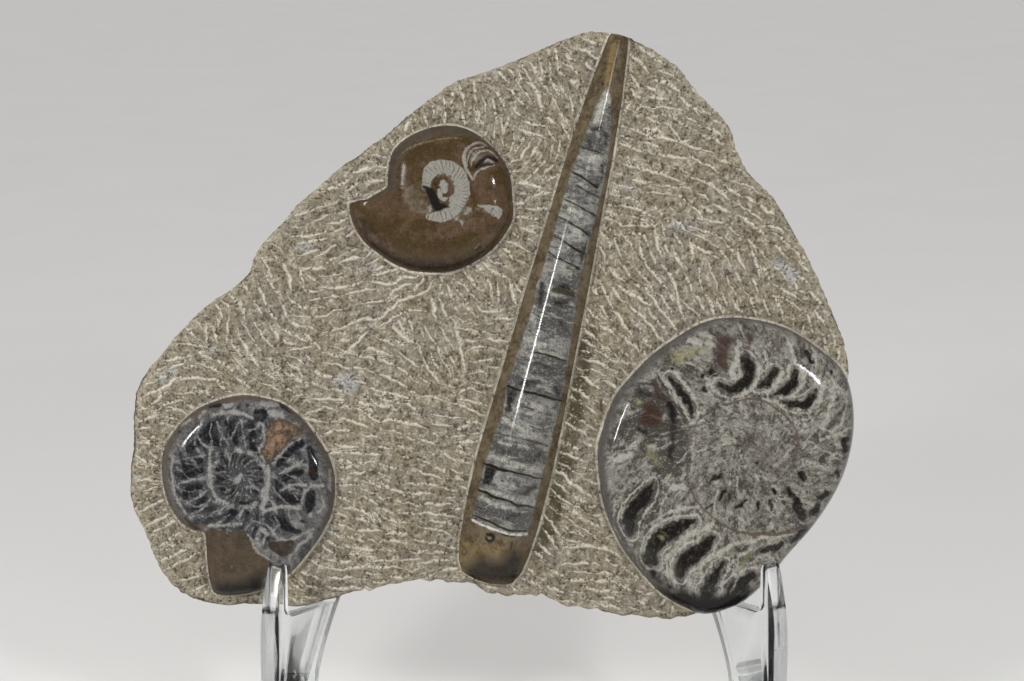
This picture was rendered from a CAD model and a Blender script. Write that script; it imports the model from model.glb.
"""The looks of a polished orthoceras and three goniatites in a chiselled slab, on a clear stand.

Metres, +Z up. The slab has a frame of its own: u runs to the right, v up the carved face and w
out of it. Chisel marks and the fossils' markings are drawn on a grid over that face, in steps
of 0.4 mm, with x to the right and y down.
"""

import logging
import math
import random
from abc import ABC, abstractmethod
from dataclasses import dataclass, field
from enum import Enum
from functools import cached_property
from typing import Any, Callable, Sequence

import bmesh
import bpy
import numpy as np
from mathutils import Matrix, Vector, kdtree, noise


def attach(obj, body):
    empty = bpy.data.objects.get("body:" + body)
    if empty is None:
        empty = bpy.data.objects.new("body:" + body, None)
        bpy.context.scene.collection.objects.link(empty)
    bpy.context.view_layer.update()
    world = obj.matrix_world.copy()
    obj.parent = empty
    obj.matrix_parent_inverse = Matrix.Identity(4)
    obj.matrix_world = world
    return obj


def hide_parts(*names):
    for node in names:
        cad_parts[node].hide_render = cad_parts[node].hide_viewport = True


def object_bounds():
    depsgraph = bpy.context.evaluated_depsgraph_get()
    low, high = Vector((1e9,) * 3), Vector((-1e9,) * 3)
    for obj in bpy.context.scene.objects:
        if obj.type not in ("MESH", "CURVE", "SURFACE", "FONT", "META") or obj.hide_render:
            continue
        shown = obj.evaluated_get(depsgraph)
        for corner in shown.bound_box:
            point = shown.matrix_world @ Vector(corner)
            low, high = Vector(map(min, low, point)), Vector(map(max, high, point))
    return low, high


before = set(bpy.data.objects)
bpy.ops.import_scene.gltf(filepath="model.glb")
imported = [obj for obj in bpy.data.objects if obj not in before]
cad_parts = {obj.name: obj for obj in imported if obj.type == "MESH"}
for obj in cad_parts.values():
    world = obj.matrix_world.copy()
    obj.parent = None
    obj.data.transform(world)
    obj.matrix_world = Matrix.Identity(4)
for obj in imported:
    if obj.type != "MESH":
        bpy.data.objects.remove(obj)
CAD_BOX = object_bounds()

Pair = tuple[float, float]
Colour = tuple[float, float, float]
Values = tuple[np.ndarray, ...]
log = logging.getLogger("fossil slab")

# The slab's frame, and the drawing grid over its face
LEAN = math.radians(13.0)
SLAB_RISE = 0.076
SLAB_Y = -0.034
FACE_FRAME = Matrix.Translation((0.0, SLAB_Y, SLAB_RISE)) @ Matrix.Rotation(
    math.pi / 2 - LEAN, 4, "X"
)
STEP = 0.0004                        # one step of the drawing grid
GRID_X = 492.5                       # where the slab frame's origin falls on the grid
GRID_Y = 620.0
GRID_SIZE = (1024, 682)
FAR = 60.0                           # grid steps past which a distance makes no difference
VIEW = np.array((0.0078, 0.1118, 0.900))   # from where the drawings fit the slab
SEAT = 0.005                         # how deep a fossil is bedded behind the face


# ---------------------------------------------------------------------------------------
# Curves, outlines and drawn shapes
# ---------------------------------------------------------------------------------------
def shapes(text: str) -> tuple[np.ndarray, ...]:
    """Read drawn shapes.

    Args:
        text: Shapes parted by semicolons and places parted by spaces. A place of a stroke is
            x,y,r with r its half width there, and a corner of a patch or a place of a line
            is x,y.

    Returns:
        For each shape, one row for each place.
    """
    return tuple(np.array([place.split(",") for place in shape.split()], float)
                 for shape in text.split(";"))


def smooth_curve(points: np.ndarray, steps: int, closed: bool) -> np.ndarray:
    """Draw a Catmull-Rom curve through all the given points.

    Args:
        points: The points that it passes through, with any number of values each.
        steps: How many pieces each span is cut into.
        closed: Whether the last point leads back to the first.

    Returns:
        One row for each point of the curve.
    """
    count = len(points)
    t = (np.arange(steps) / steps)[:, None]
    curve = []
    for i in range(count if closed else count - 1):
        picks = [i + k for k in (-1, 0, 1, 2)]
        picks = [p % count if closed else min(max(p, 0), count - 1) for p in picks]
        a, b, c, d = points[picks]
        curve.append(
            0.5 * (2 * b + (c - a) * t + (2 * a - 5 * b + 4 * c - d) * t ** 2
                   + (3 * b - a - 3 * c + d) * t ** 3)
        )
    if not closed:
        curve.append(points[-1:])
    return np.concatenate(curve)


def lumps(places: np.ndarray, size: float, seed: float) -> np.ndarray:
    """Smooth noise from -1 to 1 at places on the face.

    Args:
        places: One row of u and v for each place.
        size: How wide a lump is, in the unit of the places.
        seed: Picks one pattern of lumps.

    Returns:
        One value for each place.
    """
    return np.array([noise.noise((u / size, v / size, seed)) for u, v in places])


def ease(values: np.ndarray, low: float, high: float) -> np.ndarray:
    """Rise smoothly from 0 at the low value to 1 at the high one."""
    t = np.clip((values - low) / (high - low), 0.0, 1.0)
    return t * t * (3.0 - 2.0 * t)


def shares_within(distances: np.ndarray, feather: float = 3.0) -> np.ndarray:
    """Turn distances from an edge, below 0 inside it, into shares that it covers."""
    return np.clip(0.5 - distances / (2.0 * feather), 0.0, 1.0)


@dataclass(frozen=True)
class Outline:
    """A closed outline round a centre, read as a distance at any angle.

    Args:
        points: The places that the outline passes through, as text, in millimetres.
        centre: A place inside from which the whole outline is seen, in metres.
    """

    points: str
    centre: Pair

    @cached_property
    def _polar(self) -> tuple[np.ndarray, np.ndarray]:
        """The outline's angles, in order, and its distance from the centre at each."""
        offsets = smooth_curve(shapes(self.points)[0] / 1000.0, 10, True) - self.centre
        angles = np.arctan2(offsets[:, 1], offsets[:, 0])
        order = np.argsort(angles)
        return angles[order], np.hypot(offsets[:, 0], offsets[:, 1])[order]

    def radius(self, angles: np.ndarray) -> np.ndarray:
        """The outline's distance from the centre at these angles."""
        return np.interp(angles, *self._polar, period=math.tau)

    def angles_of(self, places: np.ndarray) -> np.ndarray:
        """The angles at which places lie round the centre."""
        offsets = places - self.centre
        return np.arctan2(offsets[:, 1], offsets[:, 0])

    def clearance(self, places: np.ndarray) -> np.ndarray:
        """How far outside the outline places are, with inside below 0."""
        angles = self.angles_of(places)
        reach = self.radius(angles)
        turn = 0.02
        slope = (self.radius(angles + turn) - self.radius(angles - turn)) / (2 * turn * reach)
        away = np.hypot(*(places - self.centre).T) - reach
        return away / np.sqrt(1.0 + slope ** 2)

    def ray(self, angles: np.ndarray, lengths: np.ndarray) -> np.ndarray:
        """The places at these distances from the centre."""
        return self.centre + lengths[:, None] * np.stack((np.cos(angles), np.sin(angles)), 1)


def square_to_disc(square: np.ndarray) -> tuple[np.ndarray, np.ndarray]:
    """Carry a square from -1 to 1 over to a unit disc.

    Args:
        square: One row of x and y for each point.

    Returns:
        The angle and the radius of each point in the disc.
    """
    x, y = square.T
    wide = np.abs(x) > np.abs(y)
    across = np.where(wide, x, 1.0)
    upright = np.where(wide | (y == 0.0), 1.0, y)
    sideways = math.pi / 4 * y / across + np.where(x < 0, math.pi, 0.0)
    standing = math.pi / 2 - math.pi / 4 * x / upright + np.where(y < 0, math.pi, 0.0)
    return np.where(wide, sideways, standing), np.maximum(np.abs(x), np.abs(y))


class Drawing:
    """Places on the drawing grid, and the distances from them to drawn shapes.

    Args:
        x: Grid steps to the right, one for each place.
        y: Grid steps down.
    """

    def __init__(self, x: np.ndarray, y: np.ndarray) -> None:
        self.x = x
        self.y = y

    @classmethod
    def over(cls, places: np.ndarray) -> "Drawing":
        """A drawing laid over the face as it looks from the front.

        Args:
            places: Rows of u, v and, for a surface that stands out of the face, w.

        Returns:
            The drawing.
        """
        nearer = VIEW[2] / (VIEW[2] - places[:, 2:3]) if places.shape[1] == 3 else 1.0
        u, v = (VIEW[:2] + (places[:, :2] - VIEW[:2]) * nearer).T
        return cls(u / STEP + GRID_X, GRID_Y - v / STEP)

    def wavy(self, size: float, amount: float, seed: float) -> "Drawing":
        """The same drawing with its lines pushed about by smooth noise.

        Args:
            size: How wide the waves are, in steps.
            amount: How far a line is pushed, in steps.
            seed: Picks one pattern of waves.

        Returns:
            The pushed drawing.
        """
        return Drawing(
            self.x + amount * self.lumps(size, seed),
            self.y + amount * self.lumps(size, seed + 31.7),
        )

    def lumps(self, size: float, seed: float) -> np.ndarray:
        """Smooth noise from -1 to 1, with lumps of this size in steps."""
        return lumps(np.stack((self.x, self.y), 1), size, seed)

    def polar(self, centre: Pair) -> tuple[np.ndarray, np.ndarray]:
        """How far places are from a centre, in steps, and the angles round it."""
        dx, dy = self.x - centre[0], self.y - centre[1]
        return np.hypot(dx, dy), np.arctan2(dy, dx)

    def brush(self, path: np.ndarray) -> np.ndarray:
        """Distance to a stroke of a brush, with inside below 0.

        Args:
            path: Places along the stroke, each with the brush's half width there.

        Returns:
            The distance of each place from the stroke's edge, in steps.
        """
        if len(path) == 1:
            path = np.repeat(path, 2, 0)
        elif len(path) > 2:
            path = smooth_curve(path, 4, False)
        nearest = np.full(len(self.x), np.inf)
        for (x0, y0, r0), (x1, y1, r1) in zip(path[:-1], path[1:]):
            dx, dy = x1 - x0, y1 - y0
            length = max(dx * dx + dy * dy, 1e-9)
            t = np.clip(((self.x - x0) * dx + (self.y - y0) * dy) / length, 0.0, 1.0)
            away = np.hypot(self.x - x0 - t * dx, self.y - y0 - t * dy)
            nearest = np.minimum(nearest, away - (r0 + t * (r1 - r0)))
        return nearest

    def patch(self, corners: np.ndarray) -> np.ndarray:
        """Distance to the edge of a patch with straight sides, with inside below 0."""
        nearest = np.full(len(self.x), np.inf)
        inside = np.zeros(len(self.x), bool)
        for (x0, y0), (x1, y1) in zip(corners, np.roll(corners, -1, 0)):
            dx, dy = x1 - x0, y1 - y0
            t = ((self.x - x0) * dx + (self.y - y0) * dy) / (dx * dx + dy * dy)
            t = np.clip(t, 0.0, 1.0)
            nearest = np.minimum(nearest, np.hypot(self.x - x0 - t * dx, self.y - y0 - t * dy))
            if y0 != y1:
                crossing = x0 + (self.y - y0) * dx / dy
                inside ^= ((self.y < y0) != (self.y < y1)) & (self.x < crossing)
        return np.where(inside, -nearest, nearest)

    def outside(self, shapes: Sequence[np.ndarray]) -> np.ndarray:
        """How far outside the nearest of some shapes each place is, with inside below 0.

        Args:
            shapes: Strokes and patches.

        Returns:
            One distance for each place, in grid steps.
        """
        nearest = np.full(len(self.x), np.inf)
        for shape in shapes:
            draw = self.brush if shape.shape[1] == 3 else self.patch
            nearest = np.minimum(nearest, draw(shape))
        return nearest

    def cover(self, shapes: Sequence[np.ndarray], feather: float = 3.0) -> np.ndarray:
        """How much of a place shapes cover: 1 well inside, 0.5 on an edge, 0 well outside.

        Args:
            shapes: Strokes and patches.
            feather: Over how many steps an edge fades each way.

        Returns:
            One share for each place.
        """
        return shares_within(self.outside(shapes), feather)


# ---------------------------------------------------------------------------------------
# Shaders
# ---------------------------------------------------------------------------------------
def maths(operation: str, swapped: bool = False) -> Callable[..., "Wire"]:
    """Make a method of a wire that adds a Math node.

    Args:
        operation: What the node does.
        swapped: Whether the other value comes before the wire.

    Returns:
        The method. It takes the other value, where there is one, and gives the node's wire.
    """

    def method(wire: "Wire", *others: Any) -> "Wire":
        """Add the node."""
        values = (*others, wire) if swapped else (wire, *others)
        return wire.board.node("Math", {"operation": operation}, dict(enumerate(values)))

    return method


class Wire:
    """One output of a shader's node; arithmetic on it adds Math nodes.

    Args:
        board: The shader that it belongs to.
        socket: The output socket.
    """

    __add__ = __radd__ = maths("ADD")
    __sub__ = maths("SUBTRACT")
    __rsub__ = maths("SUBTRACT", swapped=True)
    __mul__ = __rmul__ = maths("MULTIPLY")
    __truediv__ = maths("DIVIDE")
    __abs__ = maths("ABSOLUTE")
    most = maths("MAXIMUM")

    def __init__(self, board: "Board", socket: bpy.types.NodeSocket) -> None:
        self.board = board
        self.socket = socket

    def ease(self, low: Any, high: Any) -> "Wire":
        """Rise smoothly from 0 at the low value to 1 at the high one."""
        settings = {"interpolation_type": "SMOOTHSTEP"}
        return self.board.node("MapRange", settings, {0: self, 1: low, 2: high})


class Board:
    """A material's nodes, added one after the other.

    Args:
        name: The material's name.
    """

    def __init__(self, name: str) -> None:
        self.material = bpy.data.materials.new(name)
        self.material.use_nodes = True
        self.nodes = self.material.node_tree.nodes
        self.links = self.material.node_tree.links
        self.shader = self.nodes["Principled BSDF"]

    def node(
        self, kind: str, settings: dict[str, Any], inputs: dict[Any, Any], output: Any = 0
    ) -> Wire:
        """Add a node.

        Args:
            kind: The node's type, without its ShaderNode.
            settings: Its own settings, such as a Math node's operation.
            inputs: A value or a wire for each input, by number or by name.
            output: Which output to give back, by number or by name.

        Returns:
            The wire of that output.
        """
        made = self.nodes.new("ShaderNode" + kind)
        for key, value in settings.items():
            setattr(made, key, value)
        self.plug(made, inputs)
        return Wire(self, made.outputs[output])

    def plug(self, made: bpy.types.Node, inputs: dict[Any, Any]) -> None:
        """Set or link a node's inputs."""
        for key, value in inputs.items():
            if isinstance(value, Wire):
                self.links.new(value.socket, made.inputs[key])
            elif isinstance(value, tuple) and made.inputs[key].type == "RGBA":
                made.inputs[key].default_value = (*value, 1.0)
            else:
                made.inputs[key].default_value = value

    def place(self) -> Wire:
        """Where a point is on the whole object."""
        return self.node("TexCoord", {}, {}, "Object")

    def carried(self, name: str, output: str = "Vector") -> Wire:
        """What the mesh carries at each vertex: three values as a vector, or one as Fac."""
        return self.node("Attribute", {"attribute_name": name}, {}, output)

    def channels(self, name: str) -> tuple[Wire, Wire, Wire]:
        """Three values that the mesh carries together at each vertex."""
        split = self.node("SeparateXYZ", {}, {0: self.carried(name)})
        outputs = split.socket.node.outputs
        return split, Wire(self, outputs[1]), Wire(self, outputs[2])

    def grain(self, where: Wire, size: float, detail: float = 2.0, harsh: float = 0.5) -> Wire:
        """Noise round 0.5.

        Args:
            where: The place that it is read at.
            size: How wide its lumps are, in metres.
            detail: How many finer layers it has.
            harsh: How strong the finer layers are.

        Returns:
            The noise's value.
        """
        inputs = {"Vector": where, "Scale": 1.0 / size, "Detail": detail, "Roughness": harsh}
        return self.node("TexNoise", {}, inputs)

    def mix(self, share: Any, first: Any, second: Any, blend: str = "MIX") -> Wire:
        """Go from one colour to another as the share goes from 0 to 1."""
        settings = {"data_type": "RGBA", "blend_type": blend}
        return self.node("Mix", settings, {0: share, 6: first, 7: second}, 2)

    def shade(self, colour: Wire, by: Wire) -> Wire:
        """Multiply a colour by a value."""
        return self.node("VectorMath", {"operation": "SCALE"}, {0: colour, "Scale": by})

    def bump(self, height: Wire, distance: float, strength: float = 1.0) -> Wire:
        """A normal that follows a height from 0 to 1, of a real size in metres."""
        inputs = {"Strength": strength, "Distance": distance, "Height": height}
        return self.node("Bump", {}, inputs, "Normal")

    def finish(self, **inputs: Any) -> bpy.types.Material:
        """Plug in the Principled shader, with _ for a space in the names, and end."""
        self.plug(self.shader, {key.replace("_", " "): value for key, value in inputs.items()})
        return self.material


@dataclass(frozen=True)
class Limestone:
    """Chiselled limestone: brown-grey between the marks, pale and powdery in them."""

    name: str = "chiselled limestone"
    brown: Colour = (0.230, 0.197, 0.134)
    grey: Colour = (0.228, 0.204, 0.157)
    shadow: Colour = (0.080, 0.069, 0.050)
    chalk: Colour = (0.650, 0.600, 0.490)
    bloom: Colour = (0.360, 0.320, 0.242)
    blue: Colour = (0.430, 0.455, 0.470)
    moss: Colour = (0.058, 0.050, 0.024)
    broken: Colour = (0.340, 0.300, 0.235)
    cloud_size: float = 0.016        # how wide the lumps of its grain are, from broad to fine
    pebble_size: float = 0.0030
    grit_size: float = 0.0011
    dust_size: float = 0.00042
    relief: float = 0.0012           # how deep its grain is

    def dress(self) -> bpy.types.Material:
        """Make the material."""
        board = Board(self.name)
        place = board.place()
        cloud = board.grain(place, self.cloud_size, 3.0)
        pebble = board.grain(place, self.pebble_size, 4.0, 0.6)
        grit = board.grain(place, self.grit_size, 3.0, 0.65)
        dust = board.grain(place, self.dust_size, 2.0, 0.6)
        side, away, half = board.channels("cut")
        rim, edge, strength = board.channels("wear")
        broken, blue, moss = board.channels("ground")

        ragged = abs(side + (grit - 0.5) * 5.0 + (pebble - 0.5) * 3.0) + (dust - 0.5) * 3.4
        mark = (1.0 - (ragged / half).ease(0.20, 1.50)) * (1.0 - away.ease(2.2, 3.6))
        mark = mark * (strength * 0.8 + (pebble - 0.5) * 2.4 + (grit - 0.5) * 3.4).ease(-0.1, 0.9)
        lip = (1.0 - (abs(ragged / half - 1.9) * 1.1).ease(0.0, 1.0)) * (1.0 - away.ease(3.0, 4.5))
        trim = rim + (grit - 0.5) * 3.4 + (pebble - 0.5) * 2.0
        sawn = (1.0 - trim.ease(1.2, 3.0)) * (1.0 - broken)
        pits = 1.0 - (grit * 0.75 + pebble * 0.25).ease(0.36, 0.45)
        chalky = (grit * 0.6 + pebble * 0.4).ease(0.53, 0.62)

        colour = board.mix(cloud.ease(0.38, 0.64), self.brown, self.grey)
        colour = board.mix(pebble.ease(0.46, 0.66) * 0.60, colour, self.bloom)
        colour = board.mix((1.0 - pebble.ease(0.32, 0.46)) * 0.45, colour, self.shadow)
        colour = board.mix(moss * (pebble + grit - 0.2).ease(0.36, 0.84), colour, self.moss)
        chips = board.mix(cloud.ease(0.4, 0.6), self.brown, self.grey)
        colour = board.mix(broken, colour, board.mix(pebble.ease(0.40, 0.62), self.broken, chips))
        colour = board.mix((1.0 - edge.ease(0.0, 14.0)) * 0.55, colour, self.bloom)
        colour = board.mix(chalky * 0.42, colour, self.chalk)
        colour = board.mix(blue * (grit + pebble).ease(0.75, 1.15) * 0.65, colour, self.blue)
        colour = board.mix(lip * grit.ease(0.40, 0.60) * 0.22, colour, self.shadow)
        colour = board.mix((mark * 0.92).most(sawn * 0.82), colour, self.chalk)
        colour = board.mix(pits * (1.0 - mark * 0.6) * 0.85, colour, self.shadow)
        colour = board.shade(colour, (dust - 0.5) * 0.9 + (grit - 0.5) * 0.5 + 1.0)

        height = (0.55 - mark * 0.20 + lip * 0.05 - pits * 0.25 + (grit - 0.5) * 0.70
                  + (dust - 0.5) * 0.35 + (pebble - 0.5) * 0.90)
        return board.finish(
            Base_Color=colour, Roughness=mark * -0.06 + 0.90, Specular_IOR_Level=0.25,
            Normal=board.bump(height, self.relief),
        )


@dataclass(frozen=True)
class PolishedCalcite:
    """Polished shell: mottled calcite with dark chambers, pale walls and stained patches.

    The mesh carries what is drawn: chambers, walls and seams as "deposits", rust, tan and
    the outer shell's rim as "stains", and black, cream and mottled ground as "shades".
    """

    name: str
    ground: tuple[Colour, Colour] = ((0.150, 0.143, 0.130), (0.330, 0.318, 0.288))
    chamber: tuple[Colour, Colour] = ((0.010, 0.009, 0.008), (0.058, 0.054, 0.050))
    wall: Colour = (0.430, 0.415, 0.370)
    seam: Colour = (0.085, 0.062, 0.045)
    rust: Colour = (0.150, 0.075, 0.055)
    tan: tuple[Colour, Colour] = ((0.170, 0.118, 0.072), (0.250, 0.185, 0.125))
    rim: Colour = (0.170, 0.152, 0.140)
    black: Colour = (0.010, 0.009, 0.008)
    cream: Colour = (0.480, 0.460, 0.400)
    mottle: float = 0.6              # how strong the ground's specks are
    veins: float = 0.6               # how strong its wisps are
    cloudy: float = 0.45             # how broad its tones run
    cloud_size: float = 0.0060       # how wide the patches of its tones are
    speck_size: float = 0.0008       # how wide its finest grain is
    relief: float = 0.00006          # how far its grain stands out of the polish
    polish: float = 0.08             # how rough its polish is
    dull: float = 0.25               # how much rougher its rim is
    gloss: float = 0.24              # how strongly it mirrors

    def dress(self) -> bpy.types.Material:
        """Make the material."""
        board = Board(self.name)
        place = board.place()
        cloud = board.grain(place, self.cloud_size, 3.0, 0.6)
        fleck = board.grain(place, self.speck_size * 2.6, 3.0, 0.65)
        speck = board.grain(place, self.speck_size, 2.0, 0.6)
        growth = board.carried("growth")
        wisps = {"Vector": growth, "Scale": 300.0, "Detail": 3.0, "Roughness": 0.6,
                 "Distortion": 0.8}
        wisp = board.node("TexNoise", {}, wisps)
        fibre = board.grain(growth, self.speck_size * 1.7, 3.0, 0.65)
        chamber, wall, seam = board.channels("deposits")
        rust, tan, rim = board.channels("stains")
        black, cream, busy = board.channels("shades")
        ragged = (fleck - 0.5) * 1.1 + (speck - 0.5) * 0.5

        share = cloud * self.cloudy + (fleck + fibre) * (0.5 - 0.5 * self.cloudy) - busy * 0.14
        colour = board.mix(share.ease(0.40, 0.58), *self.ground)
        colour = board.mix(wisp.ease(0.52, 0.66) * self.veins, colour, self.wall)
        share = (1.0 - wisp.ease(0.34, 0.47)) * (busy * 0.5 + 0.6) * self.veins
        colour = board.mix(share, colour, self.chamber[1])
        colour = board.mix((1.0 - fibre.ease(0.36, 0.47)) * self.veins, colour, self.chamber[1])
        dots = (1.0 - speck.ease(0.38, 0.50)) * (busy * 0.75 + 0.25) * self.mottle
        colour = board.mix(dots, colour, self.chamber[1])
        colour = board.mix(speck.ease(0.56, 0.68) * 0.5 * self.mottle, colour, self.wall)
        share = (cloud * 0.5 + wisp * 0.5).ease(0.36, 0.64) * 0.6
        sheath = board.mix(share, self.rim, self.ground[0])
        colour = board.mix((rim + ragged * 0.35).ease(0.15, 0.85) * 0.92, colour, sheath)
        dark = board.mix((speck * 0.3 + fleck * 0.4 + fibre * 0.3).ease(0.46, 0.68), *self.chamber)
        colour = board.mix((chamber + ragged).ease(0.30, 0.70), colour, dark)
        brown = board.mix((cloud * 0.6 + fleck * 0.4).ease(0.38, 0.60), *self.tan)
        colour = board.mix((tan + ragged * 0.45).ease(0.30, 0.70), colour, brown)
        colour = board.mix((rust + ragged * 0.8).ease(0.30, 0.75) * 0.85, colour, self.rust)
        colour = board.mix((wall + ragged * 0.65).ease(0.28, 0.72) * 0.85, colour, self.wall)
        colour = board.mix((cream + ragged * 0.5).ease(0.34, 0.66), colour, self.cream)
        colour = board.mix((black + ragged * 0.4).ease(0.28, 0.72), colour, self.black)
        colour = board.mix((seam + ragged * 0.4).ease(0.38, 0.62) * 0.85, colour, self.seam)
        colour = board.shade(colour, (speck - 0.5) * 0.9 + (fleck - 0.5) * 0.5 + 1.0)

        height = (fleck - 0.5) * 0.3 + 0.5
        roughness = (fleck - 0.5) * 0.08 + rim.most(tan) * self.dull + self.polish
        return board.finish(
            Base_Color=colour, Roughness=roughness, Specular_IOR_Level=self.gloss,
            Normal=board.bump(height, self.relief),
        )


@dataclass(frozen=True)
class ClearSheet:
    """Clear acrylic, with cut edges that are flame-polished but not quite flat."""

    name: str = "clear acrylic"
    tint: Colour = (0.965, 0.985, 0.985)
    refraction: float = 1.49
    streak_size: float = 0.004       # how wide the saw's streaks are
    smear_size: float = 0.030        # how wide the smears on its faces are
    relief: float = 0.00015

    def dress(self) -> bpy.types.Material:
        """Make the material."""
        board = Board(self.name)
        place = board.place()
        sawn = board.carried("sawn", "Fac")
        stretched = board.node("Mapping", {}, {0: place, "Scale": (1.0, 1.0, 7.0)})
        streak = board.grain(stretched, self.streak_size, 3.0)
        smear = board.grain(place, self.smear_size, 3.0)
        height = streak * sawn + smear * 0.3
        return board.finish(
            Base_Color=self.tint, Roughness=sawn * 0.42 + smear.ease(0.5, 0.8) * 0.04 + 0.02,
            IOR=self.refraction, Transmission_Weight=1.0,
            Normal=board.bump(height, self.relief, 0.6),
        )


@dataclass(frozen=True)
class PaleFloor:
    """A plain pale studio floor."""

    name: str = "pale floor"
    colour: Colour = (0.62, 0.61, 0.59)

    def dress(self) -> bpy.types.Material:
        """Make the material."""
        board = Board(self.name)
        grain = board.grain(board.place(), 0.12, 4.0)
        colour = board.shade(board.mix(0.0, self.colour, self.colour), grain * 0.06 + 0.97)
        return board.finish(Base_Color=colour, Roughness=0.75)


# ---------------------------------------------------------------------------------------
# Making pieces
# ---------------------------------------------------------------------------------------
def new_grid(columns: int, rows: int) -> tuple[bmesh.types.BMesh, np.ndarray]:
    """Start a mesh as a flat square grid.

    Args:
        columns: How many vertices it has across.
        rows: How many it has down.

    Returns:
        The bmesh, and x and y of each vertex, from -1 to 1.
    """
    bm = bmesh.new()
    bmesh.ops.create_grid(bm, x_segments=columns, y_segments=rows, size=1.0)
    return bm, np.array([vert.co.xy for vert in bm.verts])


def settle(bm: bmesh.types.BMesh, places: np.ndarray, levels: np.ndarray) -> None:
    """Move every vertex to its place on the face and its level over it."""
    for vert, (u, v), level in zip(bm.verts, places, levels):
        vert.co = (u, v, level)


def bed(bm: bmesh.types.BMesh, centre: Pair = (0.0, 0.0), undercut: float = 0.0) -> None:
    """Lead a fossil's rim down into the stone and close it there.

    Args:
        bm: The fossil's upper side, which is open below.
        centre: Where its rim draws in towards.
        undercut: How far it draws in.
    """
    verts, rim = new_ring(bm, boundary(bm))
    for vert in verts:
        inward = (Vector(centre) - vert.co.xy).normalized() * undercut
        vert.co = (vert.co.x + inward.x, vert.co.y + inward.y, -SEAT)
    bmesh.ops.contextual_create(bm, geom=rim)


def boundary(bm: bmesh.types.BMesh) -> list[bmesh.types.BMEdge]:
    """The edges of the open rim."""
    return [edge for edge in bm.edges if edge.is_boundary]


def new_ring(
    bm: bmesh.types.BMesh, edges: list[bmesh.types.BMEdge]
) -> tuple[list[bmesh.types.BMVert], list[bmesh.types.BMEdge]]:
    """Extrude a loop of edges.

    Args:
        bm: The mesh that they are in.
        edges: The loop.

    Returns:
        The new loop's vertices and its edges.
    """
    made = bmesh.ops.extrude_edge_only(bm, edges=edges)["geom"]
    verts = [item for item in made if isinstance(item, bmesh.types.BMVert)]
    rim = [item for item in made if isinstance(item, bmesh.types.BMEdge) and item.is_boundary]
    return verts, rim


def places_of(mesh: bpy.types.Mesh) -> np.ndarray:
    """The places of a mesh's vertices, one row each."""
    flat = np.empty(len(mesh.vertices) * 3, np.float32)
    mesh.vertices.foreach_get("co", flat)
    return flat.reshape(-1, 3).astype(float)


def carry(mesh: bpy.types.Mesh, name: str, *values: np.ndarray) -> None:
    """Let a mesh carry one value, or three together, at each vertex.

    Args:
        mesh: The mesh.
        name: The attribute's name.
        values: One array of values, or three.
    """
    kind, key = ("FLOAT", "value") if len(values) == 1 else ("FLOAT_VECTOR", "vector")
    layer = mesh.attributes.new(name, kind, "POINT")
    layer.data.foreach_set(key, np.stack(values, 1).astype(np.float32).ravel())


def to_mesh(bm: bmesh.types.BMesh, name: str) -> bpy.types.Mesh:
    """Turn a closed bmesh into a mesh with its faces outward, shaded smooth."""
    bmesh.ops.recalc_face_normals(bm, faces=bm.faces)
    mesh = bpy.data.meshes.new(name)
    bm.to_mesh(mesh)
    bm.free()
    mesh.shade_smooth()
    return mesh


def to_piece(
    mesh: bpy.types.Mesh, node: str, surface: bpy.types.Material,
    placing: Matrix | None = None,
) -> bpy.types.Object:
    """Make a mesh the piece that is shown for a CAD node.

    Args:
        mesh: The finished mesh.
        node: The CAD node that it stands for.
        surface: Its material.
        placing: What takes the mesh to its place, where it isn't there yet.

    Returns:
        The piece, riding on the whole object's body.
    """
    if placing is not None:
        mesh.transform(placing)
    low, high = (np.array(corner) for corner in CAD_BOX)
    inside = np.clip(places_of(mesh), low, high)
    mesh.vertices.foreach_set("co", inside.astype(np.float32).ravel())
    mesh.update()
    mesh.materials.append(surface)
    piece = bpy.data.objects.new(node + "_finished", mesh)
    bpy.context.scene.collection.objects.link(piece)
    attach(piece, "root")
    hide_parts(node)
    log.info("%s: %d faces", piece.name, len(mesh.polygons))
    return piece


# ---------------------------------------------------------------------------------------
# The fossils
# ---------------------------------------------------------------------------------------
LARGE_OUTLINE = Outline("""
    144.5,77 142,63 137,51 128.5,38 118,26 109,15 99.5,7 86.5,2.5 77,5 66.5,11.5 55,24.5 48.5,35.5
    44,48 42,67 44,77 49,89.5 55,97 62,104.5 70.5,111 83,118.5 94,121 106,120 118,116.5 130,109
    139.5,100.5 143.5,91
""", (0.096, 0.061))
SMALL_OUTLINE = Outline("""
    -63,54 -64.5,63 -69.5,72 -76,80.5 -84,86.5 -92,89 -100,90 -108,88.5 -117,85 -124,79.5 -129,73
    -132,66 -132,56 -129.5,46.5 -125,39.5 -120,36 -115.5,35 -114.5,30 -114,22 -112.5,13.5
    -110.5,10.5 -104,10 -94.5,11.5 -86.5,15 -80,19.5 -74,26.5 -68,35 -64,44
""", (-0.0985, 0.052))
BROWN_OUTLINE = Outline("""
    -57,167 -56,159 -51.5,151.5 -45.5,146.5 -39.5,142.5 -32,139.5 -24,139 -16.5,139.5 -8.5,142.5
    -1.5,147 4,153 8,160.5 8,169 7,178 3.5,185 -1.5,190.5 -7.5,195 -14.5,197.5 -22,197.5 -29,195.5
    -35.5,192 -40,187 -41.5,181 -42,176 -42.5,173 -47.5,170 -52,167.5
""", (-0.019, 0.168))


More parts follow.
